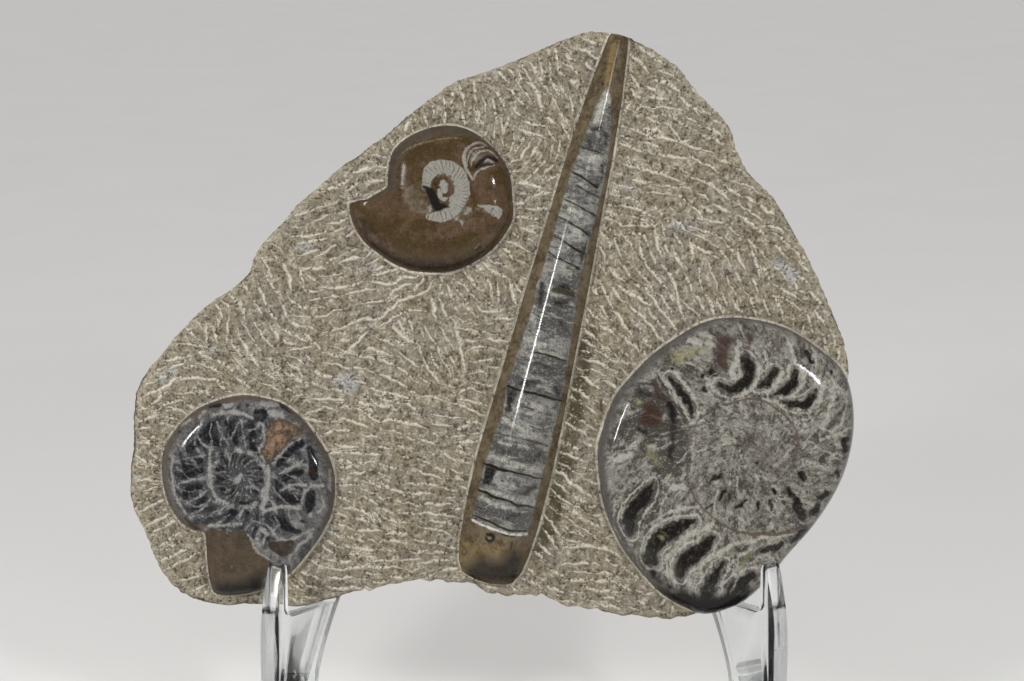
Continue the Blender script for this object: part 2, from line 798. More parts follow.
@dataclass
class Goniatite(ABC):
    """A polished goniatite: a low dome with a rounded shoulder, bedded in the stone."""

    node: str
    slot: str
    outline: Outline
    height: float
    finish: PolishedCalcite
    coil: Pair                       # the middle of its coil, in grid steps
    swirl: float                     # how far its growth lines turn on their way out
    cells: int = 220                 # mesh cells across
    stretch: float = 0.45            # how much finer its grain is across its growth lines
    core: float = 12.0               # how far out its middle is an even grain, in grid steps
    lip: float = 0.0037              # how high the shell stands over its steep rim
    steep: float = 0.0012            # how quickly it rises there
    gentle: float = 0.0058           # how quickly the dome rises behind it
    undercut: float = 0.0012         # how far its rim draws in under the face
    crowding: float = 1.12           # over 1, its mesh is finer towards the rim

    def build(self) -> bpy.types.Object:
        """Make the dome, draw its markings on it and dress it."""
        bm, square = new_grid(self.cells, self.cells)
        angles, shares = square_to_disc(square)
        shares = 1.0 - (1.0 - shares) ** self.crowding
        full = self.outline.radius(angles)
        places = self.outline.ray(angles, shares * full)
        inset = np.maximum((1.0 - shares) * full, 0.0)
        levels = self.lip * (1.0 - np.exp(-inset / self.steep))
        levels = levels + (self.height - self.lip) * (1.0 - np.exp(-inset / self.gentle))
        settle(bm, places, levels)
        bed(bm, self.outline.centre, self.undercut)
        mesh = to_mesh(bm, self.node)
        self.draw(mesh)
        return to_piece(mesh, self.node, self.finish.dress(), FACE_FRAME)

    def draw(self, mesh: bpy.types.Mesh) -> None:
        """Work out the markings at every vertex and let the mesh carry them."""
        places = places_of(mesh)
        drawing = Drawing.over(places)
        inside = -self.outline.clearance(places[:, :2]) / STEP
        away, turn = drawing.polar(self.coil)
        turn = turn + self.swirl * np.sqrt(away / 50.0)
        reach = STEP * away * (FAR / np.hypot(away, self.core)) ** (1.0 - self.stretch)
        carry(mesh, "growth", reach * np.cos(turn), reach * np.sin(turn), 0.0 * reach)
        for name, values in self.markings(drawing, inside).items():
            carry(mesh, name, *values)

    @abstractmethod
    def markings(self, drawing: Drawing, inside: np.ndarray) -> dict[str, Values]:
        """Work out what is drawn on the shell.

        Args:
            drawing: Where the mesh's vertices fall on the drawing grid.
            inside: How far they are from the shell's outer rim, in grid steps.

        Returns:
            Three values at each vertex for each of deposits, stains and shades.
        """


class LargeGoniatite(Goniatite):
    """The large grey goniatite: a wide smooth coil inside a whorl with dark chambers."""

    CHAMBERS = shapes("""
        746,359,4 750,371,5.5 744,383,5.5 731,389,4 719,385,3; 774,372,4 769,380,5 759,386,2.5;
        795,373,3.5 794,382,4.5 785,390,4 774,395,2; 817,391,2 812,398,4 803,405,4.5 792,404,3
        783,401,1.5; 669,377,2 679,390,3.5 687,401,3.5 692,413,2.5; 652,484,2 645,497,6 634,508,7
        629,520,6 631,533,3; 694,521,2.5 681,526,6 668,533,8 656,543,8 651,555,6 655,563,3;
        712,538,3 703,548,6 692,556,8 682,565,7 680,575,4; 722,564,3 714,578,5 708,591,7 706,600,4;
        754,575,2.5 745,580,5 734,588,6 729,595,3
    """)
    HOLES = shapes("""
        702,376,3; 711,371,3 716,374,2; 704,389,3; 673,370,3; 657,374,1 666,386,1.5 677,400,1.5
        685,416,1.5; 783,543,2 773,549,3 763,552,2; 806,528,3 796,543,5; 796,500,4 799,509,5
        803,516,4; 813,513,4 818,506,2; 800,473,3.5 803,479,2.5; 775,491,3.5; 788,488,2.5
        792,496,2.5; 845,440,3 846,450,3; 838,474,3.5; 826,494,4 820,498,2; 709,481,1.5 722,474,2;
        723,491,2.5 718,500,1.5; 744,500,1.5 736,508,2; 757,503,2.5 758,510,1.5; 730,434,1.5;
        845,405,2 843,415,2; 806,352,2.5 812,362,2.5; 830,372,2; 730,494,1.5 728,503,1; 770,500,1.5
        772,510,1; 783,503,1.5; 712,505,1.5 706,510,1; 738,445,1.2; 757,463,1.2; 722,452,1.4
    """)
    BUSY = shapes("""
        627,400 640,384 657,380 672,396 684,420 690,450 684,466 676,476 660,472 648,462 640,446
        618,440; 668,478 650,520 620,540 612,500 640,490; 612,440,4 622,452,4; 688,365,4 660,352,4
    """)
    WALLS = shapes("""
        757,361,2 759,374,2 752,388,2.5 737,396,1.5; 737,348,3 736,364,3.5 731,376,2.5; 779,366,2
        781,377,2.5 772,389,2 760,393,1.2; 801,368,2 803,382,2.5 794,394,2 780,399,1.2; 822,386,2
        819,399,2.5 808,410,1.2; 764,352,2.5 768,362,1.6; 661,374,1.5 672,389,2 680,402,2
        688,418,1.5; 675,371,2 684,383,2.2 694,397,1.8 698,409,1; 645,528,1.2 662,516,1.8
        682,508,2.6 699,507,2; 664,563,1.2 677,547,1.8 693,534,2.8 711,527,3; 693,592,1.4
        697,573,1.4 708,561,2.4 722,552,3 737,544,2.6 765,538,2 793,534,1.2; 720,600,1.4
        724,581,1.4 730,566,1.8 744,553,2.4 762,545,1.4; 728,604,1 733,588,1 742,572,1.2
        756,560,1.4 772,552,1; 672,487,4 684,487,4; 616,460,4 630,455,4; 800,540,1 786,548,1;
        838,385,1.5 846,400,1.5 842,420,2 832,432,1.6; 828,380,1.6 832,400,2.2 826,418,2.2;
        820,440,2.2 838,434,1.6 850,428,1.6; 690,340,3 700,345,2.4; 812,348,1.6 826,362,1.6;
        790,345,3 795,360,2.4; 812,420,1.2 826,430,1.2 846,436,1; 808,440,1.2 822,450,1.2
        842,456,1; 806,460,1.2 826,468,1.2; 826,370,1.2 840,392,1.2; 700,420,1 694,440,1 692,465,1
    """)
    SEAM = shapes("""
        731,438,0.3 735,464,0.3 757,486,0.3 784,475,0.5 797,450,1 793,425,1.1 764,401,1.3
        735,402,0.9 708,412,0.7 692,432,0.6 687,460,0.7 691,490,0.9 708,514,1 738,532,1.2
        764,534,1.8 795,531,1.7 816,523,1.4; 700,440,0.2 703,470,0.4 720,492,0.3
    """)
    RUST = shapes("""
        640,405 648,400 657,402 664,411 668,425 659,430 642,428 637,418; 652,384,4.5 661,394,5
        669,406,3; 714,335 729,331 734,341 731,356 733,368 727,374 718,371 713,352; 750,338,6
        749,349,3; 777,335,3 780,346,3
    """)
    # Pale bands that hug the chambers: how far out, how wide, how strong
    BANDS = ((4.6, 1.7, 0.66), (9.6, 1.3, 0.50), (14.0, 1.0, 0.42))
    PINK = shapes("757,448,24; 775,466,16; 750,338,8; 777,338,6; 722,345,8")
    YELLOW = shapes("""
        644,442 658,448 664,468 655,468 642,455; 662,537,5; 748,554,6 743,567,5 738,574,2;
        806,380,4; 676,356,8 690,352,7 704,350,6; 680,360,8; 638,402,6; 672,350,5; 824,405,4;
        707,365,4
    """)
    GLOOM = shapes("""
        640,395,6 668,402,8 676,430,9 672,455,8; 640,430,6 660,435,8; 645,500,6 632,515,8
        628,530,6; 640,545,5 655,575,7 680,594,10 710,606,10 738,598,7; 640,385,4 655,380,4;
        845,445,5; 620,450,4; 693,385,4 700,402,3; 820,515,4 835,490,4
    """)

    def markings(self, drawing: Drawing, inside: np.ndarray) -> dict[str, Values]:
        """The large shell's chambers, walls, whorl seam and stains."""
        waves = drawing.wavy(11.0, 1.6, 2.2).wavy(4.0, 0.8, 6.1)
        left = ease(730.0 - drawing.x, 0.0, 60.0)
        rim = shares_within(inside - 3.0 - 4.5 * left, 6.0)
        rough = waves.wavy(5.0, 1.6, 9.7)
        rust = np.maximum(0.80 * waves.cover(self.RUST, 7.0), 0.46 * waves.cover(self.PINK, 10.0))
        seam = waves.cover(self.SEAM, 2.0)
        yellow = 0.70 * waves.cover(self.YELLOW, 9.0)
        gap = rough.outside(self.CHAMBERS)
        hugging = sum(strong * np.exp(-(((gap - far) / wide) ** 2))
                      for far, wide, strong in self.BANDS)
        chambers = np.maximum(shares_within(gap, 4.0), rough.cover(self.HOLES, 3.0))
        clouded = 0.55 + 0.5 * rough.lumps(9.0, 7.9)
        under = 0.75 * ease(drawing.y, 560.0, 606.0) * (1.0 - ease(inside, 12.0, 34.0))
        return {
            "deposits": (chambers, np.maximum(0.80 * waves.cover(self.WALLS), hugging), seam),
            "stains": (rust, yellow, rim),
            "shades": (np.maximum(clouded * rough.cover(self.GLOOM, 8.0), under), 0.0 * rim,
                       waves.cover(self.BUSY, 6.0)),
        }


class SmallGoniatite(Goniatite):
    """The small dark goniatite: two whorls of narrow chambers and a tan living chamber."""

    CHAMBERS = shapes("""
        212,423,3 208,433,6.5 215,441,5 223,445,1.5; 200,436,3; 228,423,4 233,432,4.5 236,443,3;
        250,421,3.5 253,433,3.5 252,445,4 257,454,3.5; 257,412,3 265,413,3 262,420,2; 197,443,4.5
        188,449,4; 200,461,3.5 186,467,4.5; 201,471,3.5 184,476,3.5; 198,487,4.5 187,492,4.5
        185,499,2; 204,499,3 199,506,3.5 192,509,1.5; 207,518,3 214,521,1.5; 237,507,2 232,514,5
        228,520,1; 239,502,1.5 249,505,4 258,501,2.5; 247,513,3; 222,455,3 227,464,1.5; 234,452,2.5
        233,460,1.5; 246,454,2.5 244,463,1.5; 219,469,4 228,471,1.5; 219,480,3.5 227,479,1;
        222,490,3 229,486,1; 231,494,2 234,487,1.5; 256,456,3; 260,469,2.5; 262,481,2.5 256,482,1;
        257,492,2.5 252,488,1; 300,443,5 290,449,5 282,459,4.5 277,467,1.5; 301,472,3.5 288,477,4
        280,487,1.5; 277,481,2 277,493,1.5; 299,500,4 287,498,5 279,498,2.5; 311,494,4 310,503,5.5
        308,512,2; 309,448,3 313,461,4 314,476,5; 303,461,2; 274,517,3 283,523,5 291,529,4
        300,532,1.5; 180,432,1; 219,405,2.5 210,407,2; 238,407,1.5; 280,404,2 290,412,1; 303,521,2;
        187,457,1 200,455,1
    """)
    WALLS = shapes("""
        203,420,1 197,432,1 203,444,1.2 214,450,1; 217,422,1.2 221,434,1.2 229,445,1; 241,420,1.2
        243,432,1 245,445,0.8; 183,459,0.8 205,455,1; 180,483,1.4 192,480,1.6 206,477,1; 186,504,1
        199,497,1.2 208,490,0.8; 191,514,1 204,508,1 210,498,1; 228,504,1.2 218,512,1.2; 243,510,1
        238,518,1.5; 225,471,0.7 214,473,1; 210,448,1.6 210,465,2 211,482,2.4 216,497,2.2
        227,503,2; 268,466,2 268,482,2.6 266,497,3 262,508,2.6; 262,424,2 264,440,1.8 259,449,1.4
        265,462,1.4; 302,438,1.2 290,445,1.6 280,455,1.6 272,464,1.2; 303,460,1 291,468,2
        279,475,1.2; 306,485,2 291,485,1.6 280,491,1; 322,486,2 311,486,2 303,496,1.6 301,507,1.2;
        299,508,2.5 285,507,2.5 271,509,2.5 262,513,2; 322,495,1.5 323,505,1.5 318,514,1.2;
        252,521,1 267,525,1.5 276,536,1.5 285,541,2 297,537,1.5 312,529,1.5; 245,530,0.8
        252,540,1.2 256,550,1.4 263,556,1.4 272,562,1; 262,545,1 267,535,2 262,529,3; 291,556,1
        300,545,2 312,535,2; 237,480,3.5 241,476,3; 246,488,1 253,487,1.8 259,490,1.4; 212,416,1.5
        225,413,2 240,413,3 252,418,2; 270,412,4 282,416,3; 206,411,2 199,417,1.5; 226,406,3
        232,404,2.5; 262,403,3 276,405,3.5; 174,450,1.2 172,475,1.5 176,498,1.5 186,514,1.5;
        182,425,2 190,420,2; 208,526,2 225,525,2 240,524,2; 310,515,3; 330,470,1.5 330,490,1.5;
        196,466,0.7 186,463,0.7; 322,440,2
    """)
    LIVING = shapes("""
        205,534 212,528 222,530 228,536 234,530 245,531 252,541 256,551 264,557 272,563 268,572
        262,582 262,600 205,600 204,550; 269,421 285,420 295,424 304,432 301,435 294,436 289,441
        284,448 277,455 271,460 266,460 261,455 264,446 266,434
    """)
    RUST = shapes("278,437,5.5 281,444,3; 275,450,2; 290,428,2")
    ORANGE = shapes("278,428,9 272,448,7; 292,428,6")
    HEART = shapes("""
        272,545,4 283,549,8 289,545,5; 312,471,3.5; 248,405,2; 268,539,3; 186,519,2 198,530,3
    """)
    SHADOW = shapes("""
        211,580 235,578 266,570 266,600 211,600; 240,545,1.6; 196,526,3 200,532,3; 183,517,2
    """)
    GLINTS = shapes("""
        221,562,1 224,567,0.6; 231,566,1; 213,561,1; 255,562,0.8 262,560,0.5; 219,533,0.4
    """)

    WHORLS = (239, 478)              # the middle of its inner whorls
    PARTITIONS = 21                  # how many thin ones the inner whorls have in a turn

    def markings(self, drawing: Drawing, inside: np.ndarray) -> dict[str, Values]:
        """The small shell's chambers, walls, patches and rim."""
        waves = drawing.wavy(8.0, 1.2, 12.2).wavy(3.0, 0.6, 3.1)
        left = ease(270.0 - drawing.x, 0.0, 60.0)
        living = waves.cover(self.LIVING, 2.0)
        rim = shares_within(inside - 4.0 - 4.5 * left, 4.0) * (drawing.y < 530)
        rust = np.maximum.reduce([0.80 * waves.cover(self.RUST, 7.0),
                                  0.54 * waves.cover(self.ORANGE, 6.0),
                                  0.47 * waves.cover(self.LIVING[1:], 3.0)])
        away, turn = waves.polar(self.WHORLS)
        whorls = ease(away, 5.0, 9.0) * (1.0 - ease(away, 62.0, 72.0)) * (1.0 - living)
        whorls *= 1.0 - np.exp(-(((away - 31.0) / 5.0) ** 2))
        bends = 2.4 * waves.lumps(12.0, 3.3)
        septa = np.cos(self.PARTITIONS * turn - 13.0 * np.sqrt(away / 10.0) + bends)
        wound = away - 28.5 - 2.0 * np.sin(turn - 0.5) - 3.0 * waves.lumps(13.0, 8.6)
        ring = (0.50 + 0.30 * waves.lumps(9.0, 2.2)) * np.exp(-((wound / 5.0) ** 2))
        wound = away - 14.0 - 2.5 * turn / math.pi - 1.8 * waves.lumps(8.0, 5.1)
        inner = (0.30 + 0.34 * waves.lumps(7.0, 6.4)) * np.exp(-((wound / 2.6) ** 2))
        ring = np.maximum(ring, inner)
        walls = np.maximum.reduce([0.82 * waves.cover(self.WALLS, 2.5), ring,
                                   0.46 * whorls * ease(septa, 0.30, 1.0)])
        chambers = np.maximum(waves.cover(self.CHAMBERS),
                              0.56 * whorls * ease(-septa, -0.4, 0.6))
        return {
            "deposits": (chambers, walls, 0.9 * waves.cover(self.HEART, 3.0)),
            "stains": (rust, living, rim),
            "shades": (0.72 * waves.cover(self.SHADOW, 12.0),
                       0.6 * waves.cover(self.GLINTS, 2.0),
                       1.0 - ease(away, 55.0, 75.0)),
        }


class BrownGoniatite(Goniatite):
    """The brown goniatite: a plain living chamber round a small white ribbed coil."""

    COIL = shapes("""
        426,187,4 427,179,5 431,171,7 441,167,7.5 452,170,8 460,179,8 462,191,8 458,203,7.5
        452,211,7 441,216,6 428,217,3; 443,183,3.4 444,190,3.6; 439,190,2.2 441,198,2.2 446,199,2;
        455,200,6; 436,208,3 446,209,4; 472,178,1.2 466,168,1.4 464,157,1.9 468,148,1.5 478,143,1.2
        487,146,0.8; 467,166,0.6 468,157,0.8 474,149,0.8 484,147,0.6; 471,166,0.8 473,160,1.1
        480,152,1.2 490,151,1.1 497,158,0.8; 474,178,0.8 478,171,1 487,167,0.9 494,165,0.6;
        484,162,0.6 488,160,1.6 493,161,0.9; 479,205,0.8 486,207,2 492,208,2.6 499,210,3
        499,216,2.6
    """)
    MILKY = shapes("""
        486,209,5 494,212,6 499,217,4; 456,218,4 462,224,3; 466,214,4 471,209,4; 474,214,1.4
        476,208,1.2; 430,208,5; 470,162,3 476,151,3; 476,248,3 482,250,2; 444,186,7
    """)
    RING = shapes("435,180,1.2 440,175,2.2 447,176,2.6 452,183,2.4 452,191,1.8 448,196,1")
    BLACK = shapes("""
        424,187,1.8 430,191,3.6 434,199,4.2 437,207,5 444,206,2.6 449,207,1; 476,167,2 481,162,2.6
        487,157,1.6 494,159,2.2 497,162,1; 480,166,1.6 486,164,1.2 492,165,0.8; 477,250,1.4
        480,247,1.6; 493,209,0.9; 435,183,0.8 437,187,0.5
    """)
    # Soft dark blots in the whorl beside the coil, and where the shell is more ochre
    BLOTS = shapes("""
        409,192,1.5 413,188,1.5; 419,194,1 417,200,2 420,206,1.5; 417,156,1 413,161,1; 438,151,1
        448,150,1; 411,168,0.8; 421,178,2 424,186,1.5
    """)
    OCHRE = shapes("""
        388,236,4 405,246,7 430,252,8 455,252,8 478,244,6; 404,165,9 415,152,9 440,148,8; 372,220,4
        384,232,5
    """)
    VEINS = shapes("""
        414,154,0.5 417,162,0.4; 444,148,0.5 440,158,0.4; 425,160,0.5 420,170,0.5; 404,176,0.4
        420,180,0.4; 452,152,0.5 449,160,0.4; 460,232,0.4 468,238,0.4; 432,146,0.4 430,158,0.5
    """)
    GREY = shapes("""
        401,186 410,183 422,186 425,194 429,204 434,214 424,219 412,213 404,206 400,194; 455,209
        464,206 473,206 483,204 478,212 473,222 468,229 460,224 452,218; 468,150,4 478,158,7
        490,158,4; 475,253,1 478,245,2 485,249,1
    """)
    PINK = shapes("""
        465,226,6 480,222,6; 480,190,8 490,196,5; 440,235,7 455,232,6; 462,145,4; 426,207,3
    """)
    SHADE = shapes("""
        362,222,4 374,244,5 394,258,6 420,266,8 450,268,9 480,260,8 499,245,6; 368,226,2 388,246,4;
        447,178,3
    """)
    MATT = shapes("404,152,3 403,170,3 405,190,3")
    RIM = shapes("394,190,3 390,172,5 398,154,6 413,140,6 431,133,6 455,130,5 475,136,2")
    LINE = shapes("401,154,0.5 412,147,0.7 430,141,0.8 450,138,0.7 462,139,0.3")
    SEAM = shapes("""
        399,160,0.3 397,175,0.5 398,190,0.6 403,205,0.6 412,214,0.6 424,220,0.5; 424,188,0.4
        429,200,0.6 434,210,0.6; 469,176,0.6 468,190,0.5 466,203,0.6 458,215,0.8 449,221,0.6
    """)

    RIBS = 38                        # how many a full turn of the coil has
    TEETH = 15

    def markings(self, drawing: Drawing, inside: np.ndarray) -> dict[str, Values]:
        """The brown shell's coil, stains and rim."""
        waves = drawing.wavy(7.0, 0.9, 21.2)
        away, turn = drawing.polar(self.coil)
        bends = 2.2 * drawing.lumps(7.0, 1.0)
        ribs = 0.76 * ease(np.sin(turn * self.RIBS + 0.30 * away + 1.6 * bends), 0.15, 1.0)
        ribs = ribs * waves.cover(self.COIL[:1], 2.0)
        ribs = ribs * (0.88 + 0.5 * drawing.lumps(6.0, 5.7))
        teeth = waves.cover(self.RING, 2.5) * (0.75 + 0.25 * np.sin(turn * self.TEETH))
        lines = np.maximum(0.85 * waves.cover(self.SEAM, 2.0), 0.8 * waves.cover(self.VEINS, 1.5))
        return {
            "deposits": (0.84 * waves.cover(self.SHADE, 12.0), 0.9 * waves.cover(self.LINE, 2.0),
                         np.maximum.reduce([lines, teeth, ribs])),
            "stains": (0.7 * waves.cover(self.PINK, 9.0),
                       np.maximum(0.68 * waves.cover(self.GREY, 7.0),
                                  0.38 * waves.cover(self.MATT, 6.0)),
                       np.maximum(shares_within(inside - 3.0) * 0.7, waves.cover(self.RIM, 4.0))),
            "shades": (np.maximum(0.95 * waves.cover(self.BLACK, 3.0),
                                  0.56 * waves.cover(self.BLOTS, 4.0)),
                       np.maximum(0.95 * waves.cover(self.COIL, 2.5),
                                  0.58 * waves.cover(self.MILKY, 4.0)),
                       1.1 * waves.cover(self.OCHRE, 9.0)),
        }


@dataclass
class Orthoceras:
    """The polished orthoceras: a long taper with a convex section and a blunt end."""

    CORE = shapes("""
        606,88 611,95 611,130 609,150 606,170 602,190 597,210 590,238 584,260 580,280 576,300
        574,320 571,340 568,360 565,380 561,402 556,420 552,440 546,460 541,480 536,500 531,520
        527,536 514,537 500,534 485,528 472,521 475,505 481,480 485,464 493,440 500,418 503,414
        506,388 514,365 520,345 527,325 534,303 537,285 543,268 548,252 553,235 560,210 566,190
        572,170 577,157 582,145 588,128 592,115 598,102
    """)
    LINES = shapes("""
        581,147,0.6 592,150,0.8 604,155,0.5; 577,165,0.5 586,170,0.5; 572,172,0.9 579,175,1.1
        588,181,0.9 597,188,1.4; 576,185,0.6 590,193,0.7 600,198,0.5; 564,199,0.6 575,204,0.9
        585,210,0.9 596,216,0.9; 558,216,0.6 567,221,0.9 577,227,0.9 589,235,1.1; 554,236,0.5
        562,240,0.9 569,245,1 577,250,1.1 585,254,1.1; 549,252,0.5 556,257,0.8 566,262,0.7
        578,268,0.8; 533,352,0.7 548,355,0.9 562,360,0.9 567,361,0.4; 508,386,1.6 521,391,1.2
        535,394,1.3 550,398,1.3 561,401,0.8; 521,406,0.4 534,410,0.5; 484,463,1.2 491,466,1.8
        500,469,1.6 512,472,1.1 526,475,1.2 542,479,0.8; 479,490,1 487,493,1.4 497,498,1.5
        508,501,1.1 518,505,1.2 527,506,1 537,508,0.5; 473,515,0.7 481,518,1 490,522,1 500,527,1
        512,531,1.2 526,531,1.1; 494,531,0.6 505,535,0.9 515,537,0.5; 533,312,0.5 542,318,0.6;
        476,507,0.5 482,509,0.5; 528,372,0.4 545,374,0.3
    """)
    SPOTS = shapes("""
        617,59,0.8; 611,64,0.6; 610,73,0.6; 601,77,0.8; 603,84,1.2; 592,107,0.8; 617,43,0.6;
        487,534,1.4 493,535,1.6 493,540,1.2 488,541,1.2 486,537,1; 512,542,1 511,550,0.8
    """)
    WEDGES = shapes("485,465 497,469 494,479 489,486 482,484; 555,288,1.5 563,287,2.4 573,290,1.2")
    DARK = shapes("""
        506,386 519,391 515,404 511,414 503,414; 542,284,4 540,302,4; 599,163,2.5 603,169,3.5
        602,180,3; 597,186,4; 596,208,2.5 594,216,3; 589,233,4; 584,248,3.5 582,262,3.5; 572,262,3
        577,268,2.5; 556,303,4 566,303,4; 574,296,3; 503,452,3 509,452,2; 541,454,4 533,460,3;
        516,459,0.6 526,461,1 540,466,0.8; 534,487,4 527,492,4 519,494,2; 541,427,3 545,432,3;
        592,130,3 600,128,3; 589,140,3 590,148,2; 607,135,3 605,147,2; 501,473,1.5 502,482,2.5;
        523,383,5 540,381,3; 519,514,4 507,518,2; 491,512,1.5 483,511,1; 560,322,3 566,330,2;
        552,368,3 536,362,2.5; 594,201,2; 556,388,4 559,397,3
    """)
    SMUDGES = shapes("""
        497,433,0.8 508,436,1.4 520,438,1.4 535,442,1.8 551,447,1.4; 588,240,2 584,255,2; 530,425,1
        540,430,1.5; 554,290,3 572,294,3
    """)
    BUSY = shapes("""
        584,126 610,130 607,152 580,146; 548,282 580,278 573,330 540,328 538,300; 530,356 567,362
        562,398 508,384 518,360; 476,506 536,510 527,532 474,514; 500,446,8 545,458,6
    """)
    PALE = shapes("""
        605,94,3 604,104,4 599,114,5 596,121,5; 590,153,1.5 588,166,1.2 586,180,0.8; 595,168,2.5;
        563,271,0.6 578,276,0.8; 503,420,4 515,426,3 535,436,3; 490,455,3 515,465,2.2 538,471,2.2;
        500,443,3 530,448,2; 484,498,4 495,505,3 515,509,2; 480,489,1 495,493,2 512,498,1.5;
        520,338,4 545,345,3; 528,318,3 536,322,3; 510,480,2 516,489,2; 578,232,5; 570,210,4
        580,214,4; 592,158,5 600,159,3; 522,402,2 545,408,2; 568,246,3
    """)
    RIMS = shapes("472,520,0.9 485,526,1.1 500,532,1.1 515,535,0.9 527,534,0.7; 489,538,0.6")
    YELLOW = shapes("614,46,3.5 611,62,4.5 608,76,4 606,86,2.5")
    WARM = shapes("""
        478,543,5 500,548,7 520,548,5; 470,555,5 500,560,4; 545,235,2 538,262,2; 598,92,2 588,118,2
    """)
    END = shapes("460,565 480,548 497,556 512,540 532,552 524,590 456,590; 484,569,4 494,568,3")
    finish: PolishedCalcite
    tip: Pair = (0.0508, 0.2338)
    tilt: float = math.radians(13.75)
    length: float = 0.2230
    widths: Sequence[Pair] = (
        (0.000, 0.0034), (0.0015, 0.0041), (0.025, 0.0071), (0.050, 0.0091), (0.074, 0.0103),
        (0.100, 0.0120), (0.130, 0.0133), (0.155, 0.0146), (0.178, 0.0155), (0.200, 0.0151),
        (0.212, 0.0141), (0.219, 0.0126), (0.223, 0.0104),
    )
    crown: float = 0.43              # height over the face as a share of the half width
    crown_base: float = 0.0017
    end_run: float = 0.009           # over what length the blunt end rounds off
    end_sag: float = 0.0020          # how far its middle bulges out
    columns: int = 78
    rows: int = 560

    @property
    def down(self) -> np.ndarray:
        """The way from the tip to the blunt end on the face."""
        return np.array((-math.sin(self.tilt), -math.cos(self.tilt)))

    @property
    def right(self) -> np.ndarray:
        """The way to the right across it on the face."""
        return np.array((math.cos(self.tilt), -math.sin(self.tilt)))

    def half_width(self, along: np.ndarray) -> np.ndarray:
        """Its half width at distances from the tip."""
        stations, widths = np.array(self.widths).T
        return np.interp(along, stations, widths)

    def along_and_across(self, places: np.ndarray) -> tuple[np.ndarray, np.ndarray]:
        """Where places of the face are from the tip down and from the axis out."""
        offsets = places - self.tip
        return offsets @ self.down, offsets @ self.right

    def clearance(self, places: np.ndarray) -> np.ndarray:
        """How far outside it places are, with inside below 0."""
        along, across = self.along_and_across(places)
        beside = np.abs(across) - self.half_width(np.clip(along, 0.0, self.length))
        beyond = along - self.length - self.end_sag * np.clip(
            1.0 - (across / self.half_width(along)) ** 2, 0.0, 1.0)
        return np.maximum(beside, beyond)

    def build(self) -> bpy.types.Object:
        """Make the bar, draw its chambers on it and dress it."""
        bm, square = new_grid(self.columns, self.rows)
        across = square[:, 0] * (1.5 - 0.5 * square[:, 0] ** 2)
        along = (square[:, 1] + 1.0) / 2.0 * self.length
        half = self.half_width(along)
        end = np.maximum(0.0, 1.0 - (self.length - along) / self.end_run)
        sag = self.end_sag * end * (1.0 - across ** 2)
        places = (np.array(self.tip) + (along + sag)[:, None] * self.down
                  + (across * half)[:, None] * self.right)
        crown = (self.crown * half + self.crown_base) * np.sqrt(1.0 - 0.8 * end ** 2)
        crown = crown * (1.0 - 0.25 * np.exp(-along / 0.025))
        settle(bm, places, crown * np.maximum(0.0, 1.0 - np.abs(across) ** 1.75) ** 0.92)
        bed(bm)
        mesh = to_mesh(bm, "orthoceras")
        self.draw(mesh)
        return to_piece(mesh, "orthoceras", self.finish.dress(), FACE_FRAME)

    def draw(self, mesh: bpy.types.Mesh) -> None:
        """Work out the markings at every vertex and let the mesh carry them."""
        places = places_of(mesh)
        waves = Drawing.over(places).wavy(9.0, 0.8, 31.2).wavy(3.0, 0.4, 8.1)
        core = waves.cover(self.CORE, 2.0)
        thin = waves.cover(self.LINES, 2.0)
        along, across = self.along_and_across(places[:, :2])
        carry(mesh, "growth", 0.30 * across, along + 3.0 * across ** 2, 0.0 * along)
        dark = np.maximum(0.72 * waves.cover(self.DARK, 5.0), 0.95 * waves.cover(self.WEDGES, 4.0))
        carry(mesh, "deposits", dark * core, 0.75 * waves.cover(self.PALE, 5.0) * core,
              0.85 * waves.cover(self.SMUDGES, 3.0) * core)
        burnt = 0.50 * ease(along, 0.2050, 0.2120)
        warm = np.maximum(0.62 * waves.cover(self.WARM, 9.0), burnt) * (1.0 - core)
        carry(mesh, "stains", np.maximum(0.75 * waves.cover(self.YELLOW, 3.0), warm), 1.0 - core,
              0.0 * core)
        gloom = 0.66 * waves.cover(self.END, 13.0) * (1.0 - core)
        carry(mesh, "shades", np.maximum.reduce([thin, waves.cover(self.SPOTS, 2.5), gloom]),
              waves.cover(self.RIMS, 2.0), waves.cover(self.BUSY, 5.0) * core)


